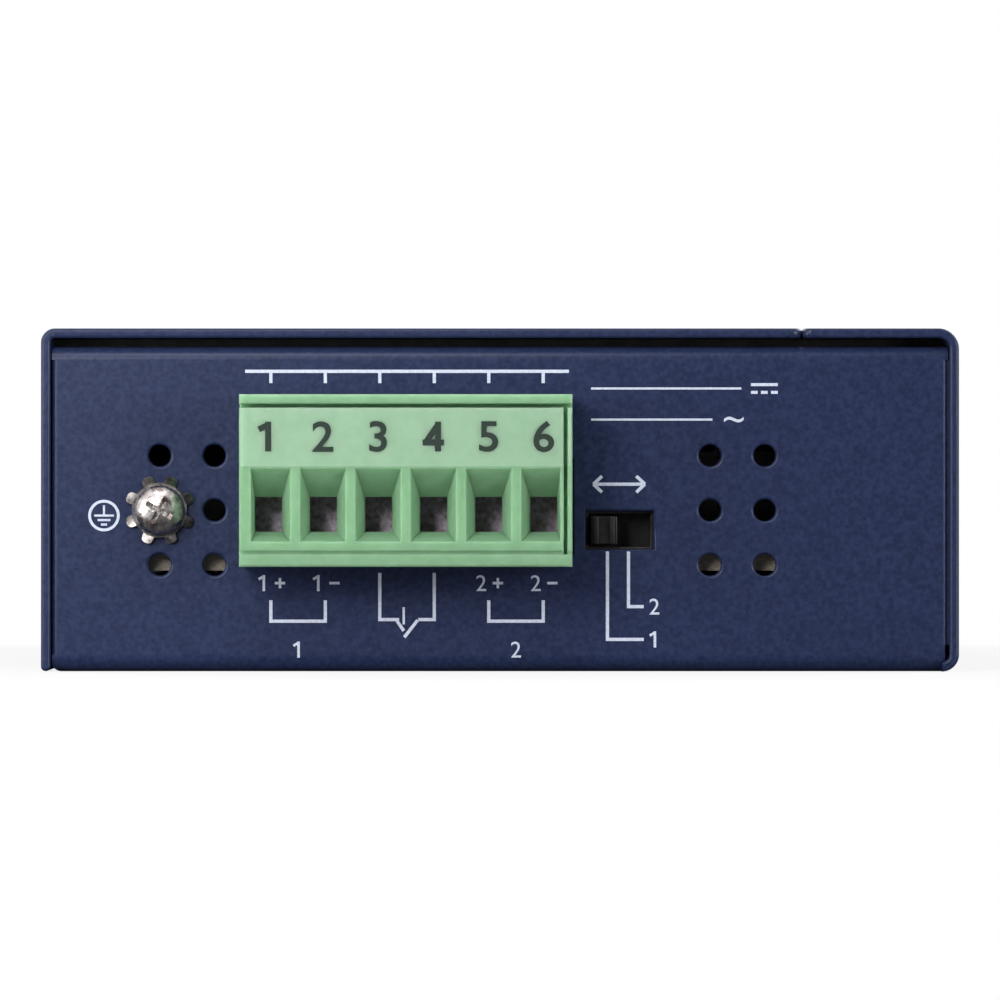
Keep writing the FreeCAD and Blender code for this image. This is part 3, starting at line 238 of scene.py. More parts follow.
def moulded_plastic(name, dark, light, roughness, gloss=0.4, size=1.2 * MM):
    material, tree, shader = new_material(name)
    cloud = grain(tree, size, detail=3.0)
    tree.links.new(tones(tree, cloud, dark, light), shader.inputs["Base Color"])
    tree.links.new(spread(tree, cloud, roughness - 0.06, roughness + 0.06), shader.inputs["Roughness"])
    shader.inputs["Specular IOR Level"].default_value = gloss
    relief(tree, shader, grain(tree, 0.12 * MM), 0.004 * MM)
    return material


def terminal_plastic():
    """Sage green plastic, with a paler field painted on the face over the pole numbers: a painted sheen."""
    material, tree, shader = new_material("sage_green_plastic")
    cloud = grain(tree, 1.2 * MM, detail=3.0)
    plain = tones(tree, cloud, (0.205, 0.375, 0.217), (0.23, 0.41, 0.243))
    # Painted sheen: a paler green on the forward-facing number field, standing for the haze of light on it
    sheen_lit = tones(tree, cloud, (0.295, 0.465, 0.312), (0.32, 0.495, 0.338))
    place = tree.nodes.new("ShaderNodeTexCoord")
    sheen_field = tree.nodes.new("ShaderNodeMath")
    field_middle = (FIELD_LOW + FIELD_HIGH) / 2
    field_reach = (FIELD_HIGH - FIELD_LOW) / 2
    limits = (("Object", "Z", field_middle, field_reach), ("Normal", "Y", -1.0, 0.1))
    for output, axis, middle, reach in limits:
        parts = tree.nodes.new("ShaderNodeSeparateXYZ")
        near = tree.nodes.new("ShaderNodeMath")
        near.operation = "COMPARE"
        near.inputs[1].default_value = middle
        near.inputs[2].default_value = reach
        tree.links.new(place.outputs[output], parts.inputs[0])
        tree.links.new(parts.outputs[axis], near.inputs[0])
        tree.links.new(near.outputs[0], sheen_field.inputs[0 if output == "Object" else 1])
    sheen_field.operation = "MULTIPLY"
    mix = tree.nodes.new("ShaderNodeMix")
    mix.data_type = "RGBA"
    tree.links.new(sheen_field.outputs[0], mix.inputs["Factor"])
    tree.links.new(plain, mix.inputs["A"])
    tree.links.new(sheen_lit, mix.inputs["B"])
    tree.links.new(mix.outputs["Result"], shader.inputs["Base Color"])
    tree.links.new(spread(tree, cloud, 0.44, 0.56), shader.inputs["Roughness"])
    shader.inputs["Specular IOR Level"].default_value = 0.25
    shader.inputs["Subsurface Weight"].default_value = 1.0
    shader.inputs["Subsurface Radius"].default_value = (0.8, 1.0, 0.8)
    shader.inputs["Subsurface Scale"].default_value = 3.0 * MM
    relief(tree, shader, grain(tree, 0.12 * MM), 0.004 * MM)
    return material


def plated_metal(name, dark, light, roughness, size=0.5 * MM, stretch=(1, 1, 1), depth=0.003 * MM):
    material, tree, shader = new_material(name)
    streak = grain(tree, size, detail=3.0, stretch=stretch)
    tree.links.new(tones(tree, streak, dark, light), shader.inputs["Base Color"])
    tree.links.new(spread(tree, streak, roughness * 0.7, roughness * 1.3), shader.inputs["Roughness"])
    shader.inputs["Metallic"].default_value = 1.0
    relief(tree, shader, streak, depth)
    return material


def clear_plastic():
    material, tree, shader = new_material("clear_light_pipe")
    haze = grain(tree, 0.4 * MM)
    tree.links.new(tones(tree, haze, (0.8, 0.84, 0.84), (0.92, 0.95, 0.95)), shader.inputs["Base Color"])
    shader.inputs["Roughness"].default_value = 0.08
    shader.inputs["Transmission Weight"].default_value = 0.75
    shader.inputs["IOR"].default_value = 1.49
    return material


def solder_mask():
    """Green board with brown laminate on its sawn edges."""
    material, tree, shader = new_material("green_solder_mask")
    tracks = grain(tree, 1.6 * MM, detail=0.0, stretch=(1, 0.25, 1))
    mask = tones(tree, tracks, (0.012, 0.075, 0.03), (0.03, 0.14, 0.055), 0.47, 0.53)
    fibres = grain(tree, 0.5 * MM, stretch=(1, 1, 6))
    laminate = tones(tree, fibres, (0.22, 0.19, 0.145), (0.39, 0.34, 0.27))
    place = tree.nodes.new("ShaderNodeTexCoord")
    parts = tree.nodes.new("ShaderNodeSeparateXYZ")
    level_face = tree.nodes.new("ShaderNodeMath")
    level_face.operation = "ABSOLUTE"
    mix = tree.nodes.new("ShaderNodeMix")
    mix.data_type = "RGBA"
    tree.links.new(place.outputs["Normal"], parts.inputs[0])
    tree.links.new(parts.outputs["Z"], level_face.inputs[0])
    tree.links.new(level_face.outputs[0], mix.inputs["Factor"])
    tree.links.new(laminate, mix.inputs["A"])
    tree.links.new(mask, mix.inputs["B"])
    tree.links.new(mix.outputs["Result"], shader.inputs["Base Color"])
    shader.inputs["Roughness"].default_value = 0.35
    relief(tree, shader, tracks, 0.03 * MM)
    return material


def windings():
    material, tree, shader = new_material("enamelled_winding")
    turns = grain(tree, 0.9 * MM, stretch=(1, 1, 0.2))
    tree.links.new(tones(tree, turns, (0.32, 0.1, 0.035), (0.62, 0.27, 0.1)), shader.inputs["Base Color"])
    shader.inputs["Metallic"].default_value = 0.8
    shader.inputs["Roughness"].default_value = 0.3
    relief(tree, shader, turns, 0.08 * MM)
    return material


def ink(name, colour):
    material, tree, shader = new_material(name)
    wear = grain(tree, 0.25 * MM)
    worn = tuple(channel * 0.82 for channel in colour)
    tree.links.new(tones(tree, wear, worn, colour), shader.inputs["Base Color"])
    shader.inputs["Roughness"].default_value = 0.6
    shader.inputs["Specular IOR Level"].default_value = 0.25
    relief(tree, shader, wear, 0.006 * MM)
    return material


FINISH = {
    "powder_coat": powder_coat(),
    "nickel_steel": plated_metal("bright_nickel", (0.62, 0.59, 0.55), (0.86, 0.84, 0.8), 0.16),
    "plug_plastic": terminal_plastic(),
    "contact_metal": plated_metal("tinned_contact", (0.6, 0.5, 0.36), (0.75, 0.68, 0.55), 0.25),
    # The clamps' metal is darkened to stand for the shade in the plug's throats: painted shade
    "clamp_metal": plated_metal("shade_darkened_clamp", (0.1, 0.092, 0.105), (0.36, 0.335, 0.37), 0.34),
    "black_plastic": moulded_plastic("black_plastic", (0.01, 0.01, 0.0096), (0.019, 0.0185, 0.018),
                                     0.42, 0.3),
    "port_metal": plated_metal("tin_plate", (0.58, 0.58, 0.56), (0.76, 0.76, 0.74), 0.24,
                               0.3 * MM, (0.15, 1, 1)),
    "clear_plastic": clear_plastic(),
    "lamp_plastic": moulded_plastic("milky_lamp", (0.7, 0.76, 0.68), (0.78, 0.83, 0.76), 0.3),
    "board_laminate": solder_mask(),
    "ferrite": moulded_plastic("grey_ferrite", (0.016, 0.016, 0.018), (0.03, 0.03, 0.032), 0.6),
    "copper_winding": windings(),
    "bobbin_plastic": moulded_plastic("yellow_tape", (0.5, 0.33, 0.03), (0.58, 0.4, 0.05), 0.35),
    "can_sleeve": moulded_plastic("dark_sleeve", (0.008, 0.01, 0.02), (0.014, 0.016, 0.03), 0.25),
    "bare_aluminium": plated_metal("extruded_aluminium", (0.55, 0.56, 0.57), (0.7, 0.71, 0.72), 0.35,
                                   0.3 * MM, (1, 0.08, 1)),
}
# Metal darkened to stand for the shade deep in the plug's throats and behind the vents: painted shade
SHADE_DARKENED_METAL = plated_metal("shade_darkened_metal", (0.05, 0.045, 0.054), (0.2, 0.183, 0.212), 0.32)
COPPER_BROWN = plated_metal("copper_brown", (0.34, 0.27, 0.29), (0.72, 0.64, 0.74), 0.55, 0.5 * MM)
NODE_FINISH = {
    "plug_contacts": SHADE_DARKENED_METAL,
    "header_pins": SHADE_DARKENED_METAL,
    "board_standoffs": SHADE_DARKENED_METAL,
    "earth_screw": plated_metal("mottled_nickel", (0.3, 0.25, 0.24), (0.84, 0.8, 0.78), 0.28, 0.7 * MM,
                                depth=0.05 * MM),
    # The washer's metal is darkened to stand for the shade round the screw head: painted shade
    "earth_washer": plated_metal("shade_darkened_washer", (0.11, 0.1, 0.096), (0.27, 0.255, 0.245), 0.3),
}
WHITE_INK = ink("white_ink", (0.62, 0.66, 0.8))
DARK_INK = ink("dark_ink", (0.02, 0.035, 0.026))
AMBER_LENS = moulded_plastic("amber_lens", (0.7, 0.32, 0.03), (0.78, 0.4, 0.05), 0.15)
GREEN_LENS = moulded_plastic("green_lens", (0.12, 0.5, 0.1), (0.16, 0.58, 0.14), 0.15)

SLOT_OF = {part["node"]: part["material_slot"] for part in frame["record"]["subparts"]}
BODY_OF = {node: body for body, nodes in frame["record"]["behaviour"]["bodies"].items() for node in nodes}


def finish_of(node):
    return NODE_FINISH.get(node, FINISH[SLOT_OF[node]])


for node, solid in frame["nodes"].items():
    paint(solid, finish_of(node))


# Pieces that stand for the solids, with their edges rounded as the real processes leave them

SHEET_EDGE = 0.3 * MM
RIM_EDGE = 0.28 * MM
MOULD_EDGE = 0.1 * MM
PLATED_EDGE = 0.08 * MM
THIN_EDGE = 0.05 * MM
TOOTH_ROUND = 0.42 * MM
TOOTH_CORNERS = 2.9 * MM     # the teeth's corners lie further out than this
PANEL_ROOM = (39 * MM, 2 * MM, 28 * MM)     # half width, bottom and top of the flat part of the panels
WALL_ROOM = (66 * MM, 5 * MM, 29 * MM)      # half length, bottom and top of the flat part of the side walls
SEAM_CORNER = 1.02 * MM                     # the sheets' corners lie this close to the ends of the seam


def lies_on(ends, axis, place):
    """True for an edge that lies in the plane at this place on an axis."""
    return all(abs(end[axis] - place) < NEAR for end in ends)


def in_wall(ends, x):
    along, bottom, top = WALL_ROOM
    return lies_on(ends, 0, x) and all(abs(end.y) < along and bottom < end.z < top for end in ends)


def sheet_ends(ends):
    """Sheared ends of the two folded sheets, and their round corners beside the seam in the top."""
    at_end = any(lies_on(ends, 1, y) for y in (CHASSIS_LOW.y, CHASSIS_HIGH.y))
    level_edge = abs(ends[0].z - ends[1].z) < NEAR
    at_corner = all(abs(end.x - SEAM_X) < SEAM_CORNER and abs(end.y) > CHASSIS_HIGH.y - SEAM_CORNER
                    for end in ends)
    return at_end or at_corner and level_edge


def chassis_rims(ends):
    """Rims of the openings in the end panels and the port wall."""
    across, bottom, top = PANEL_ROOM
    in_panel = lies_on(ends, 1, PANEL_Y) or lies_on(ends, 1, -PANEL_Y)
    within = all(abs(end.x) < across and bottom < end.z < top for end in ends)
    return in_wall(ends, PORT_WALL_X) or in_panel and within


def cover_rims(ends):
    return in_wall(ends, COVER_LOW.x)


def plug_rims(ends):
    """Rims of the funnels and grooves in the plug's face and of the wells in its top."""
    return lies_on(ends, 1, PLUG_FACE_Y) or lies_on(ends, 2, PLUG_HIGH.z)


def tooth_corners(ends):
    """Corners of the earth washer's teeth, which run through their thickness."""
    reach = min(math.hypot(end.x - EARTH.x, end.z - EARTH.z) for end in ends)
    run = ends[1] - ends[0]
    return reach > TOOTH_CORNERS and abs(run.y) > 0.7 * run.length


def port_rims(ends):
    return all(end.x > PORT_WALL_X for end in ends)


def stand_for(piece, node):
    """Finishes a piece that takes the place of a solid."""
    paint(piece, finish_of(node))
    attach(piece, BODY_OF[node])
    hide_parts(node)


def dress(node, name, *roundings):
    """A piece like a solid, with edges rounded by the given widths where they pass the given tests."""
    piece = fair_copy(node, name)
    for width, where in roundings:
        round_edges(piece, width, where)
    stand_for(shade(piece), node)


dress("base_chassis", "coated_chassis", (SHEET_EDGE, sheet_ends), (RIM_EDGE, chassis_rims))
dress("cover", "coated_cover", (SHEET_EDGE, sheet_ends), (RIM_EDGE, cover_rims))
dress("terminal_plug", "moulded_plug", (MOULD_EDGE, plug_rims))
dress("terminal_header", "moulded_header", (MOULD_EDGE, every_edge))
dress("earth_washer", "plated_earth_washer", (TOOTH_ROUND, tooth_corners), (THIN_EDGE, every_edge))
dress("cover_screws", "plated_cover_screws", (PLATED_EDGE, every_edge))
dress("switch_body", "moulded_switch", (MOULD_EDGE, every_edge))
dress("switch_knob", "moulded_knob", (MOULD_EDGE, every_edge))
dress("lan_jack_shell", "plated_lan_shell", (THIN_EDGE, port_rims))
dress("lan_jack_insert", "moulded_lan_insert", (MOULD_EDGE, port_rims))
dress("light_pipes", "clear_light_pipes", (MOULD_EDGE, port_rims))
for port in (1, 2):
    dress(f"fibre_cage_{port}", f"plated_fibre_cage_{port}", (THIN_EDGE, port_rims))
for pole in POLES:
    dress(f"clamp_screw_{pole}", f"plated_clamp_screw_{pole}", (PLATED_EDGE, every_edge))
    dress(f"clamp_cage_{pole}", f"plated_clamp_cage_{pole}", (PLATED_EDGE, every_edge))


# Brown plates of the contacts, which close the sockets towards the plug's throats

PLATE_WIDTH = 2.7 * MM
PLATE_DROP = 1.4 * MM         # below the sockets
PLATE_THICKNESS = 0.12 * MM
BAR_THICKNESS = 0.85 * MM
CAGE_ROOM = 0.25 * MM         # between a cage and the wall behind it


def contact_plates():
    low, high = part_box("plug_contacts")
    bottom = low.z - PLATE_DROP
    top = high.z - BAR_THICKNESS
    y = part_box("clamp_cage_1")[1].y + CAGE_ROOM - PLATE_THICKNESS / 2
    size = (PLATE_WIDTH, PLATE_THICKNESS, top - bottom)
    plates = []
    for pole in POLES:
        plate = block((POLE_X[pole], y, (bottom + top) / 2), size)
        round_edges(plate, 0.4 * PLATE_THICKNESS)
        plates.append(plate)
    piece = shade(join(plates, "contact_plates"))
    paint(piece, COPPER_BROWN)
    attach(piece, "plug")


contact_plates()


# Coat that bridges the seams between the port wall and the end panels

BRIDGE_REACH = 0.22 * MM      # from the port wall's inside
BRIDGE_DEPTH = 0.2 * MM       # behind the panels' faces
BRIDGE_BOTTOM = 2.5 * MM
BRIDGE_TOP = 29.0 * MM


def seam_bridges():
    right = PORT_WALL_X - SHEET + NEAR
    left = right - BRIDGE_REACH
    size = (right - left, SHEET - BRIDGE_DEPTH, BRIDGE_TOP - BRIDGE_BOTTOM)
    bridges = []
    for side in (-1, 1):
        y = side * (abs(PANEL_Y) - BRIDGE_DEPTH - size[1] / 2)
        middle = ((left + right) / 2, y, (BRIDGE_BOTTOM + BRIDGE_TOP) / 2)
        bridges.append(block(middle, size))
    piece = shade(join(bridges, "seam_bridges"))
    paint(piece, FINISH["powder_coat"])
    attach(piece, "chassis")


seam_bridges()


# Black strips set back in the gaps between the end panels' flanges and the top sheets: painted shade that
# keeps the gaps dark

FLANGE_GAP = 0.8 * MM
SHADE_BACK = 5.0 * MM          # from the panels' faces
SHADE_DEPTH = 3.0 * MM


def flange_gap_shades():
    top = COVER_HIGH.z - SHEET + NEAR
    bottom = top - FLANGE_GAP - 2 * NEAR
    left = COVER_LOW.x + SHEET + NEAR
    right = PORT_WALL_X - SHEET - NEAR
    size = (right - left, SHADE_DEPTH, top - bottom)
    gap_shades = []
    for side in (-1, 1):
        y = side * (abs(PANEL_Y) - SHADE_BACK - SHADE_DEPTH / 2)
        middle = ((left + right) / 2, y, (bottom + top) / 2)
        gap_shade = block(middle, size)
        round_edges(gap_shade, THIN_EDGE)
        gap_shades.append(gap_shade)
    piece = shade(join(gap_shades, "flange_gap_shades"))
    # Black, to stand for the shade in the gaps: painted shade
    paint(piece, FINISH["black_plastic"])
    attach(piece, "chassis")


flange_gap_shades()


# Earth screw with a domed head

HEAD_SKIRT = 0.5 * MM
HEAD_TURN = math.radians(30)
HEAD_SIDES = 64
DOME_STEPS = 12
DOME_LIMIT = math.radians(86)
SHANK_RADIUS = 1.4 * MM
RECESS_WIDTH = 0.72 * MM
RECESS_SPAN = 1.72        # length of each bar, in head radii
RECESS_DEPTH = 0.95 * MM
RECESS_TAPER = 0.5


def select_face(piece, way):
    """Selects the faces of a mesh in edit mode that look along a direction."""
    bpy.ops.mesh.select_mode(type="FACE")
    bpy.ops.mesh.select_all(action="DESELECT")
    mesh = bmesh.from_edit_mesh(piece.data)
    mesh.normal_update()
    for face in mesh.faces:
        face.select_set(face.normal.dot(Vector(way)) > 0.99)
    bmesh.update_edit_mesh(piece.data)


def recess_bar(centre, length, turn):
    """A tapered bar of the cross recess, which narrows towards its foot."""
    bar_piece = block((0, 0, 0), (length, 2 * RECESS_DEPTH, RECESS_WIDTH))
    bpy.ops.object.mode_set(mode="EDIT")
    select_face(bar_piece, (0, 1, 0))
    bpy.ops.transform.resize(value=(RECESS_TAPER, 1, RECESS_TAPER))
    bpy.ops.object.mode_set(mode="OBJECT")
    bar_piece.rotation_euler.y = turn
    bar_piece.location = centre
    return settle(bar_piece)


def cut_away(piece, cutter):
    choose(piece)
    cut = piece.modifiers.new("cut", "BOOLEAN")
    cut.operation = "DIFFERENCE"
    cut.solver = "EXACT"
    cut.object = cutter
    bpy.ops.object.modifier_apply(modifier=cut.name)
    bpy.data.objects.remove(cutter)


def domed_earth_screw():
    low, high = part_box("earth_screw")
    radius = (high.x - low.x) / 2
    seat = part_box("earth_washer")[0].y
    dome = seat - HEAD_SKIRT - low.y
    bpy.ops.object.select_all(action="DESELECT")
    bpy.ops.mesh.primitive_cylinder_add(vertices=HEAD_SIDES, radius=radius, depth=HEAD_SKIRT,
                                        rotation=(math.pi / 2, 0, 0),
                                        location=(EARTH.x, seat - HEAD_SKIRT / 2, EARTH.z))
    screw = settle(bpy.context.object)
    screw.name = "plated_earth_screw"
    bpy.ops.object.mode_set(mode="EDIT")
    select_face(screw, (0, -1, 0))
    last_reach = radius
    last_rise = 0
    for step in range(1, DOME_STEPS + 1):
        angle = DOME_LIMIT * step / DOME_STEPS
        reach = radius * math.cos(angle)
        rise = dome * math.sin(angle)
        bpy.ops.mesh.inset(thickness=last_reach - reach, depth=rise - last_rise)
        last_reach = reach
        last_rise = rise
    select_face(screw, (0, 1, 0))
    bpy.ops.mesh.inset(thickness=radius - SHANK_RADIUS)
    bpy.ops.mesh.extrude_region_move(TRANSFORM_OT_translate={"value": (0, high.y - seat, 0)})
    bpy.ops.object.mode_set(mode="OBJECT")
    crown = (EARTH.x, low.y, EARTH.z)
    bars = [recess_bar(crown, RECESS_SPAN * radius, HEAD_TURN + quarter * math.pi / 2) for quarter in (0, 1)]
    for bar_piece in bars:
        cut_away(screw, bar_piece)
    stand_for(shade(screw), "earth_screw")


domed_earth_screw()


# Print

FIGURE_HEIGHT = 1.5 * MM  # of the plain figures on the walls
FINE_HALF = 0.1 * MM      # half the width of a fine line
RING_SIDES = 48


def bar(left, right, bottom, top, face_y):
    """A printed bar on a face that looks along -Y."""
    front = face_y - INK_THICKNESS
    back = face_y + INK_SUNK
    middle = ((left + right) / 2, (front + back) / 2, (bottom + top) / 2)
    return block(middle, (right - left, back - front, top - bottom))


def upright(x, bottom, top, face_y):
    return bar(x - LINE_WIDTH / 2, x + LINE_WIDTH / 2, bottom, top, face_y)


def level(left, right, z, face_y):
    return bar(left, right, z - LINE_WIDTH / 2, z + LINE_WIDTH / 2, face_y)


def slanted(start, end, face_y, width=LINE_WIDTH):
    """A printed line between two (x, z) points."""
    run = end[0] - start[0]
    rise = end[1] - start[1]
    half = math.hypot(run, rise) / 2
    line = bar(-half, half, -width / 2, width / 2, face_y)
    line.rotation_euler.y = -math.atan2(rise, run)
    line.location = ((start[0] + end[0]) / 2, 0, (start[1] + end[1]) / 2)
    return settle(line)


def centre_on(piece, place):
    """Moves a piece so that the middle of its box is at a place."""
    corners = [vertex.co for vertex in piece.data.vertices]
    for axis in range(3):
        middle = (min(c[axis] for c in corners) + max(c[axis] for c in corners)) / 2
        piece.location[axis] = place[axis] - middle
    return settle(piece)


def set_figure(strokes, place, turn):
    """Joins the strokes of a figure, turns it about Z and centres it on a place."""
    figure = join(strokes, "figure")
    figure.rotation_euler.z = turn
    return centre_on(settle(figure), place)


# Proportions of a figure one, in heights
ONE_SHIFT = 0.11
FLAG_REACH = 0.32
FLAG_DROP = 0.26


def printed_one(place, height, stroke, turn):
    """A figure one: a stem with a flag at its head, set a little to the left."""
    top = height / 2
    shift = ONE_SHIFT * height
    place = (place[0] - shift * math.cos(turn), place[1] - shift * math.sin(turn), place[2])
    stem = bar(-stroke / 2, stroke / 2, -top, top, 0)
    flag_end = (-FLAG_REACH * height, top - FLAG_DROP * height)
    flag = slanted(flag_end, (0, top - stroke / 2), LAYER, stroke)
    return set_figure([stem, flag], place, turn)


def printed_four(place, height, stroke, turn):
    """A figure four: a stem, a crossbar and a slope."""
    top = height / 2
    half = stroke / 2
    stem_x = 0.14 * height
    cross_z = -0.2 * height
    left = -0.38 * height
    right = 0.34 * height
    stem = bar(stem_x - half, stem_x + half, -top, top, 0)
    cross = bar(left, right, cross_z - half, cross_z + half, LAYER)
    slope = slanted((left + half, cross_z), (stem_x, top - half), 2 * LAYER, stroke)
    return set_figure([stem, cross, slope], place, turn)


DRAWN_FIGURES = {"1": printed_one, "4": printed_four}
STROKE_SHARE = 0.16       # plain stroke of a drawn figure, in heights
CAPITAL_SHARE = 0.7       # height of a capital, in sizes of its text


def printed_sign(text, place, height, weight=0.0, turn=0.0, stretch=1.0):
    """A printed figure or sign, centred on a place on a wall, with its capitals of the given height."""
    if text in DRAWN_FIGURES:
        return DRAWN_FIGURES[text](place, height, STROKE_SHARE * height + 2 * weight, turn)
    bpy.ops.object.text_add(location=(0, 0, 0), rotation=(math.pi / 2, 0, turn))
    sign = bpy.context.object
    sign.data.body = text
    sign.data.size = height / CAPITAL_SHARE
    sign.data.extrude = (INK_THICKNESS + INK_SUNK) / 2
    sign.data.offset = weight
    sign.scale.x = stretch
    choose(sign)
    bpy.ops.object.convert(target="MESH")
    return centre_on(settle(sign), place)


def on_panel(x, z):
    return (x, PANEL_Y - (INK_THICKNESS - INK_SUNK) / 2, z)


def ring(x, z, radius, width, face_y):
    """A printed ring."""
    bpy.ops.mesh.primitive_circle_add(vertices=RING_SIDES, radius=radius, fill_type="NGON",
                                      location=(x, face_y + INK_SUNK, z), rotation=(math.pi / 2, 0, 0))
    piece = settle(bpy.context.object)
    bpy.ops.object.mode_set(mode="EDIT")
    bpy.ops.mesh.select_all(action="SELECT")
    bpy.ops.mesh.inset(thickness=width)
    bpy.ops.mesh.delete(type="FACE")
    bpy.ops.mesh.select_all(action="SELECT")
    bpy.ops.mesh.extrude_region_move(
        TRANSFORM_OT_translate={"value": (0, -INK_THICKNESS - INK_SUNK, 0)})
    bpy.ops.mesh.select_all(action="SELECT")
    bpy.ops.mesh.normals_make_consistent(inside=False)
    bpy.ops.object.mode_set(mode="OBJECT")
    return piece


def earth_sign():
    """Earth sign in a ring, beside the earth screw."""
    x = EARTH.x - 5.2 * MM
    z = EARTH.z - 0.5 * MM
    ring_radius = 1.47 * MM
    ring_line = 0.26 * MM
    stem_bottom = z + 0.1 * MM
    stem_top = z + 0.95 * MM
    rows = ((0.0, 0.92), (-0.42, 0.6), (-0.84, 0.28))     # rise and half length, in millimetres
    pieces = [ring(x, z, ring_radius, ring_line, PANEL_Y)]
    pieces.append(bar(x - FINE_HALF, x + FINE_HALF, stem_bottom, stem_top, PANEL_Y))
    for rise, reach in rows:
        row_z = z + rise * MM
        pieces.append(bar(x - reach * MM, x + reach * MM, row_z - FINE_HALF, row_z + FINE_HALF, PANEL_Y))
    return pieces


def polarity(number, sign, x, z):
    """A supply's number with a plus or a minus beside it."""
    half = 0.48 * MM
    half_stroke = 0.12 * MM
    number_x = x - 0.7 * MM
    sign_x = x + 0.85 * MM
    pieces = [printed_sign(f"{number}", on_panel(number_x, z), FIGURE_HEIGHT),
              bar(sign_x - half, sign_x + half, z - half_stroke, z + half_stroke, PANEL_Y)]
    if sign == "+":
        pieces.append(bar(sign_x - half_stroke, sign_x + half_stroke, z - half, z + half, PANEL_Y + LAYER))
    return pieces


def supply_bracket(first, second, number):
    """Bracket under two poles of one supply, with its polarity and number."""
    number_z = 2.05 * MM
    foot = 4.7 * MM
    head = 6.65 * MM
    signs_z = 8.25 * MM
    left = POLE_X[first]
    right = POLE_X[second]
    half = LINE_WIDTH / 2
    return polarity(number, "+", left, signs_z) + polarity(number, "-", right, signs_z) + [
        upright(left, foot + half, head, PANEL_Y),
        upright(right, foot + half, head, PANEL_Y),
        level(left - half, right + half, foot, PANEL_Y),
        printed_sign(f"{number}", on_panel((left + right) / 2, number_z), FIGURE_HEIGHT),
    ]


def contact_sign():
    """Relay contact between the middle poles."""
    left = POLE_X[3]
    right = POLE_X[4]
    middle = (left + right) / 2
    half = LINE_WIDTH / 2
    foot = 4.85 * MM
    head = 9.2 * MM
    left_end = left + 1.8 * MM
    right_end = right - 1.5 * MM
    stem_left = middle - 0.42 * MM
    stem_right = middle - 0.2 * MM
    stem_bottom = 4.4 * MM
    stem_top = 6.0 * MM
    barb_start = (middle - 0.95 * MM, 4.75 * MM)
    barb_end = (middle - 0.31 * MM, 3.8 * MM)
    blade_start = (middle - 0.25 * MM, 3.2 * MM)
    blade_end = (right - 1.55 * MM, 4.8 * MM)
    return [
        upright(left, foot + half, head, PANEL_Y),
        upright(right, foot + half, head, PANEL_Y),
        level(left - half, left_end, foot, PANEL_Y),
        level(right_end, right + half, foot, PANEL_Y),
        bar(stem_left, stem_right, stem_bottom, stem_top, PANEL_Y),
        slanted(barb_start, barb_end, PANEL_Y + LAYER),
        slanted(blade_start, blade_end, PANEL_Y + 2 * LAYER),
    ]


def switch_leaders():
    """Lines from the switch's two positions to their numbers, and a two-way arrow above it."""
    head = 11.2 * MM
    end = 13.4 * MM
    number_x = end + 1.0 * MM
    half = LINE_WIDTH / 2
    positions = ((10.02 * MM, 3.0 * MM), (11.98 * MM, 6.06 * MM))     # X and foot of each line
    pieces = []
    for number, (x, foot) in enumerate(positions, 1):
        pieces.append(upright(x, foot + half, head, PANEL_Y))
        pieces.append(level(x - half, end, foot, PANEL_Y))
        pieces.append(printed_sign(f"{number}", on_panel(number_x, foot), FIGURE_HEIGHT))
    arrow_z = SWITCH.z + 4.3 * MM
    reach = 2.4 * MM
    barb_run = 0.8 * MM
    barb_rise = 0.75 * MM
    pieces.append(level(SWITCH.x - reach + half, SWITCH.x + reach - half, arrow_z, PANEL_Y))
    for side in (-1, 1):
        tip = SWITCH.x + side * reach
        for rise, depth in ((-1, LAYER), (1, 2 * LAYER)):
            barb = (tip - side * barb_run, arrow_z + rise * barb_rise)
            pieces.append(slanted(barb, (tip, arrow_z), PANEL_Y + depth))
    return pieces


def supply_signs():
    """Signs for direct and alternating supply at the upper right."""
    left = 8.5 * MM
    direct_z = 26.4 * MM
    wave_z = 23.5 * MM
    sign_left = 23.4 * MM
    sign_width = 2.5 * MM
    dash = sign_width / 4
    inner = 0.22 * MM         # the direct sign's strokes lie between these distances from its middle
    outer = 0.5 * MM
    direct_end = sign_left - 0.9 * MM
    wave_end = sign_left - 3.6 * MM
    wave_x = sign_left - 1.6 * MM
    wave_height = 2.4 * MM
    pieces = [bar(left, direct_end, direct_z - FINE_HALF, direct_z + FINE_HALF, PANEL_Y),
              bar(left, wave_end, wave_z - FINE_HALF, wave_z + FINE_HALF, PANEL_Y)]
    pieces.append(bar(sign_left, sign_left + sign_width, direct_z + inner, direct_z + outer, PANEL_Y))
    for i in range(3):
        x = sign_left + i * 1.5 * dash
        pieces.append(bar(x, x + dash, direct_z - outer, direct_z - inner, PANEL_Y))
    pieces.append(printed_sign("~", on_panel(wave_x, wave_z), wave_height))
    return pieces


def pole_comb():
    """A line over the terminal with a tick for each pole."""
    top = 28.0 * MM
    overhang = 2.4 * MM
    tick = 1.1 * MM
    half = LINE_WIDTH / 2
    pieces = [level(POLE_X[1] - overhang, POLE_X[6] + overhang, top, PANEL_Y)]
    for pole in POLES:
        pieces.append(upright(POLE_X[pole], top - tick, top - half, PANEL_Y))
    return pieces


def finish_print(pieces, name, material, body):
    piece = join(pieces, name)
    bpy.ops.object.shade_flat()
    paint(piece, material)
    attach(piece, body)


panel_print = earth_sign() + supply_bracket(1, 2, 1) + supply_bracket(5, 6, 2) + contact_sign()
panel_print += switch_leaders() + supply_signs() + pole_comb()
finish_print(panel_print, "panel_print", WHITE_INK, "chassis")

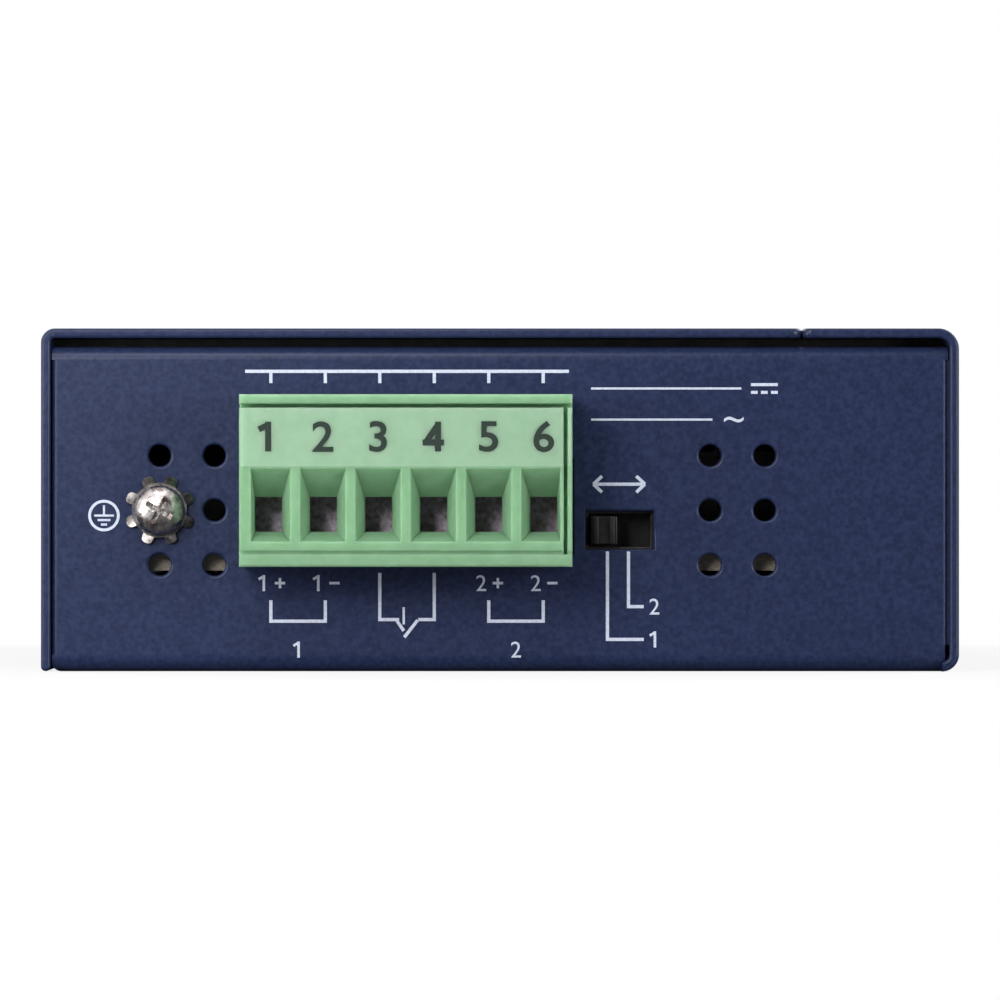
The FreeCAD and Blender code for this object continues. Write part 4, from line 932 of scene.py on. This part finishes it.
NUMBER_Z = 21.83 * MM
NUMBER_HEIGHT = 2.73 * MM
NUMBER_WEIGHT = 0.055 * MM
NUMBER_STRETCH = 1.08
plug_numbers = [printed_sign(f"{pole}", (POLE_X[pole], PLUG_FACE_Y - INK_THICKNESS / 3, NUMBER_Z),
                             NUMBER_HEIGHT, NUMBER_WEIGHT, 0.0, NUMBER_STRETCH) for pole in POLES]
finish_print(plug_numbers, "plug_numbers", DARK_INK, "plug")


def on_wall(y, z):
    return (PORT_WALL_X + (INK_THICKNESS - INK_SUNK) / 2, y, z)


def port_numbers():
    """A number over each port and each lamp."""
    quarter = math.pi / 2
    port_rise = 2.0 * MM
    port_height = 1.8 * MM
    lamp_rise = 1.9 * MM
    lamps = 5
    signs = []
    for number, node in enumerate(("fibre_cage_1", "fibre_cage_2", "lan_jack_shell"), 1):
        place = centre_of(node)
        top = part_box(node)[1].z
        signs.append(printed_sign(f"{number}", on_wall(place.y, top + port_rise), port_height, turn=quarter))
    low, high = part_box("light_pipes")
    radius = (high.z - low.z) / 2
    step = (high.y - low.y - 2 * radius) / (lamps - 1)
    for i in range(lamps):
        y = low.y + radius + i * step
        signs.append(printed_sign(f"{i + 1}", on_wall(y, high.z + lamp_rise), FIGURE_HEIGHT, turn=quarter))
    return signs


finish_print(port_numbers(), "port_print", WHITE_INK, "chassis")


# Sprung earth fingers round the fibre cages and lamp windows in the LAN jack

FINGER_REACH = 0.6 * MM
FINGER_WIDTH = 1.7 * MM
FINGER_STEP = 2.5 * MM
FINGER_PROUD = 0.24 * MM
FINGER_GAP = 0.1 * MM     # between the port wall and the fingers
FINGER_CROWN = (0.3, 0.85, 1)     # size of a finger's top, in sizes of its foot
LENS_SIZE = (0.3 * MM, 3.0 * MM, 1.5 * MM)
LENS_SPREAD = 5.4 * MM
LENS_DROP = 1.5 * MM
LENS_PROUD = 0.12 * MM


def sprung_finger():
    """One crowned finger that lies on its back at the origin and points along X."""
    finger = block((0, 0, FINGER_PROUD / 2), (FINGER_REACH, FINGER_WIDTH, FINGER_PROUD))
    bpy.ops.object.mode_set(mode="EDIT")
    select_face(finger, (0, 0, 1))
    bpy.ops.transform.resize(value=FINGER_CROWN)
    bpy.ops.object.mode_set(mode="OBJECT")
    round_edges(finger, 0.4 * THIN_EDGE)
    return finger


def placed_copy(piece, place, turn):
    """A copy of a piece with a mesh of its own, turned about X and moved to a place."""
    copy = piece.copy()
    copy.data = piece.data.copy()
    bpy.context.scene.collection.objects.link(copy)
    copy.rotation_euler.x = turn
    copy.location = place
    return settle(copy)


def finger_shifts(across):
    """Places of the fingers along one side of a cage, from its middle."""
    count = int(across / FINGER_STEP)
    return [(i - (count - 1) / 2) * FINGER_STEP for i in range(count)]


def finger_ring(port):
    """Fingers on the four sides of a fibre cage."""
    low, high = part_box(f"fibre_cage_{port}")
    middle = (low + high) / 2
    x = PORT_WALL_X + FINGER_GAP + FINGER_REACH / 2
    quarter = math.pi / 2
    pattern = sprung_finger()
    fingers = []
    for shift in finger_shifts(high.y - low.y):
        fingers.append(placed_copy(pattern, (x, middle.y + shift, high.z), 0))
        fingers.append(placed_copy(pattern, (x, middle.y + shift, low.z), math.pi))
    for shift in finger_shifts(high.z - low.z):
        fingers.append(placed_copy(pattern, (x, high.y, middle.z + shift), -quarter))
        fingers.append(placed_copy(pattern, (x, low.y, middle.z + shift), quarter))
    bpy.data.objects.remove(pattern)
    ring_piece = shade(join(fingers, f"earth_fingers_{port}"))
    paint(ring_piece, FINISH["port_metal"])
    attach(ring_piece, "chassis")


def lamp_window(side, name, material):
    low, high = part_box("lan_jack_insert")
    depth = LENS_SIZE[0]
    place = (high.x + LENS_PROUD - depth / 2, (low.y + high.y) / 2 + side * LENS_SPREAD, high.z - LENS_DROP)
    window = block(place, LENS_SIZE)
    window.name = name
    round_edges(window, 0.6 * LENS_PROUD)
    paint(shade(window), material)
    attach(window, "chassis")


for port in (1, 2):
    finger_ring(port)
lamp_window(-1, "amber_lamp_window", AMBER_LENS)
lamp_window(1, "green_lamp_window", GREEN_LENS)


# Camera, floor and light

def seen_directly(tree):
    """One for rays from the camera, a mirror or glass, and nothing for the light that falls on surfaces."""
    path = tree.nodes.new("ShaderNodeLightPath")
    total = path.outputs["Is Camera Ray"]
    for ray in ("Is Glossy Ray", "Is Transmission Ray"):
        either = tree.nodes.new("ShaderNodeMath")
        either.operation = "MAXIMUM"
        tree.links.new(total, either.inputs[0])
        tree.links.new(path.outputs[ray], either.inputs[1])
        total = either.outputs[0]
    return total


def blend_in(tree, share, shaded, white, output):
    mix = tree.nodes.new("ShaderNodeMixShader")
    tree.links.new(share, mix.inputs["Fac"])
    tree.links.new(shaded, mix.inputs[1])
    tree.links.new(white, mix.inputs[2])
    tree.links.new(mix.outputs[0], output)


MID_HEIGHT = 16 * MM
FLOOR_SIZE = 8
FLOOR_Z = -0.02 * MM
FLOOR_TONE = 0.9          # as the camera sees it
SHADOW_REACH = 0.32       # the floor turns plain white this far from the object
FLOOR_BOUNCE = 0.2        # how much light the floor throws back at the object
SHADOW_SHARE = 0.2        # how much of the floor's own shading is seen beside the object


def studio_floor():
    bpy.ops.mesh.primitive_plane_add(size=FLOOR_SIZE, location=(0, 0, FLOOR_Z))
    floor = bpy.context.object
    floor.name = "studio_floor"
    material, tree, shader = new_material("studio_floor")
    path = tree.nodes.new("ShaderNodeLightPath")
    brightness = spread(tree, path.outputs["Is Camera Ray"], FLOOR_BOUNCE, FLOOR_TONE)
    tree.links.new(brightness, shader.inputs["Base Color"])
    shader.inputs["Roughness"].default_value = 0.9
    place = tree.nodes.new("ShaderNodeTexCoord")
    mapping = tree.nodes.new("ShaderNodeMapping")
    mapping.inputs["Scale"].default_value = [1 / SHADOW_REACH] * 3
    nearness = tree.nodes.new("ShaderNodeTexGradient")
    nearness.gradient_type = "SPHERICAL"
    tree.links.new(place.outputs["Object"], mapping.inputs["Vector"])
    tree.links.new(mapping.outputs["Vector"], nearness.inputs["Vector"])
    share = tree.nodes.new("ShaderNodeMath")
    share.operation = "MULTIPLY"
    tree.links.new(spread(tree, nearness.outputs["Fac"], 1.0, 1.0 - SHADOW_SHARE), share.inputs[0])
    tree.links.new(seen_directly(tree), share.inputs[1])
    white = tree.nodes.new("ShaderNodeEmission")
    blend_in(tree, share.outputs[0], shader.outputs[0], white.outputs[0],
             tree.nodes["Material Output"].inputs["Surface"])
    paint(floor, material)


def studio_world():
    world = bpy.data.worlds.new("studio")
    bpy.context.scene.world = world
    world.use_nodes = True
    tree = world.node_tree
    soft = tree.nodes["Background"]
    soft.inputs["Color"].default_value = (0.92, 0.95, 1.0, 1)
    soft.inputs["Strength"].default_value = 0.2
    white = tree.nodes.new("ShaderNodeBackground")
    white.inputs["Color"].default_value = (1, 1, 1, 1)
    blend_in(tree, seen_directly(tree), soft.outputs[0], white.outputs[0],
             tree.nodes["World Output"].inputs["Surface"])


def area_light(name, place, target, size, energy):
    bpy.ops.object.light_add(type="AREA", location=place)
    lamp = bpy.context.object
    lamp.name = name
    lamp.data.size = size
    lamp.data.energy = energy
    way = [t - p for t, p in zip(target, place)]
    lamp.rotation_euler = Vector(way).to_track_quat("-Z", "Y").to_euler()


def dark_card(name, place, turn, width, height, shade_level):
    """A dark card that only shiny surfaces show, for contrast in their reflections."""
    bpy.ops.mesh.primitive_plane_add(size=1, location=place, rotation=(turn, 0, 0), scale=(width, height, 1))
    card = bpy.context.object
    card.name = name
    material, tree, shader = new_material(name)
    shader.inputs["Base Color"].default_value = (shade_level, shade_level, 1.1 * shade_level, 1)
    shader.inputs["Roughness"].default_value = 1.0
    paint(card, material)
    card.visible_camera = False
    card.visible_diffuse = False
    card.visible_shadow = False
    card.visible_transmission = False


CAMERA_DISTANCE = 0.72
CAMERA_LENS = 282.0
SENSOR = 36.0
bpy.ops.object.camera_add(location=(0, PLUG_FACE_Y - CAMERA_DISTANCE, MID_HEIGHT),
                          rotation=(math.pi / 2, 0, 0))
camera = bpy.context.object
camera.data.sensor_width = SENSOR
camera.data.lens = CAMERA_LENS
bpy.context.scene.camera = camera

studio_floor()
studio_world()
FRONT_MIDDLE = (0, PANEL_Y, MID_HEIGHT)
MIDDLE = (0, 0, MID_HEIGHT)
FRONT_LEFT = (-30 * MM, PANEL_Y, MID_HEIGHT)
FRONT_TOP = (-10 * MM, PANEL_Y, 28 * MM)
area_light("key", (-0.11, PANEL_Y - 0.26, 0.11), FRONT_MIDDLE, 0.1, 0.43)
area_light("fill", (0.5, PANEL_Y - 0.43, 0.04), FRONT_MIDDLE, 0.28, 3.1)
area_light("left_strip", (-0.15, PANEL_Y - 0.1, 0.03), FRONT_LEFT, 0.07, 0.13)
area_light("top_strip", (-0.03, PANEL_Y - 0.12, 0.16), FRONT_TOP, 0.07, 0.09)
area_light("port_side", (0.45, 0.35, 0.4), MIDDLE, 0.4, 3.2)
area_light("far_side", (-0.4, 0.4, 0.4), MIDDLE, 0.4, 2.4)
CARD_WIDTH = 1.8
CARD_REACH = 0.86
CARD_OVERLAP = 2 * MM     # how far the floor card reaches in behind the power panel's face
CARD_Z = -0.01 * MM
FRONT_CARD = (0, PANEL_Y - CARD_REACH, CARD_REACH / 2)
FLOOR_CARD = (0, PANEL_Y + CARD_OVERLAP - CARD_REACH / 2, CARD_Z)
dark_card("front_card", FRONT_CARD, math.pi / 2, CARD_WIDTH, CARD_REACH, 0.02)
dark_card("floor_card", FLOOR_CARD, 0, CARD_WIDTH, CARD_REACH, 0.06)

bpy.context.scene.view_settings.view_transform = "Standard"
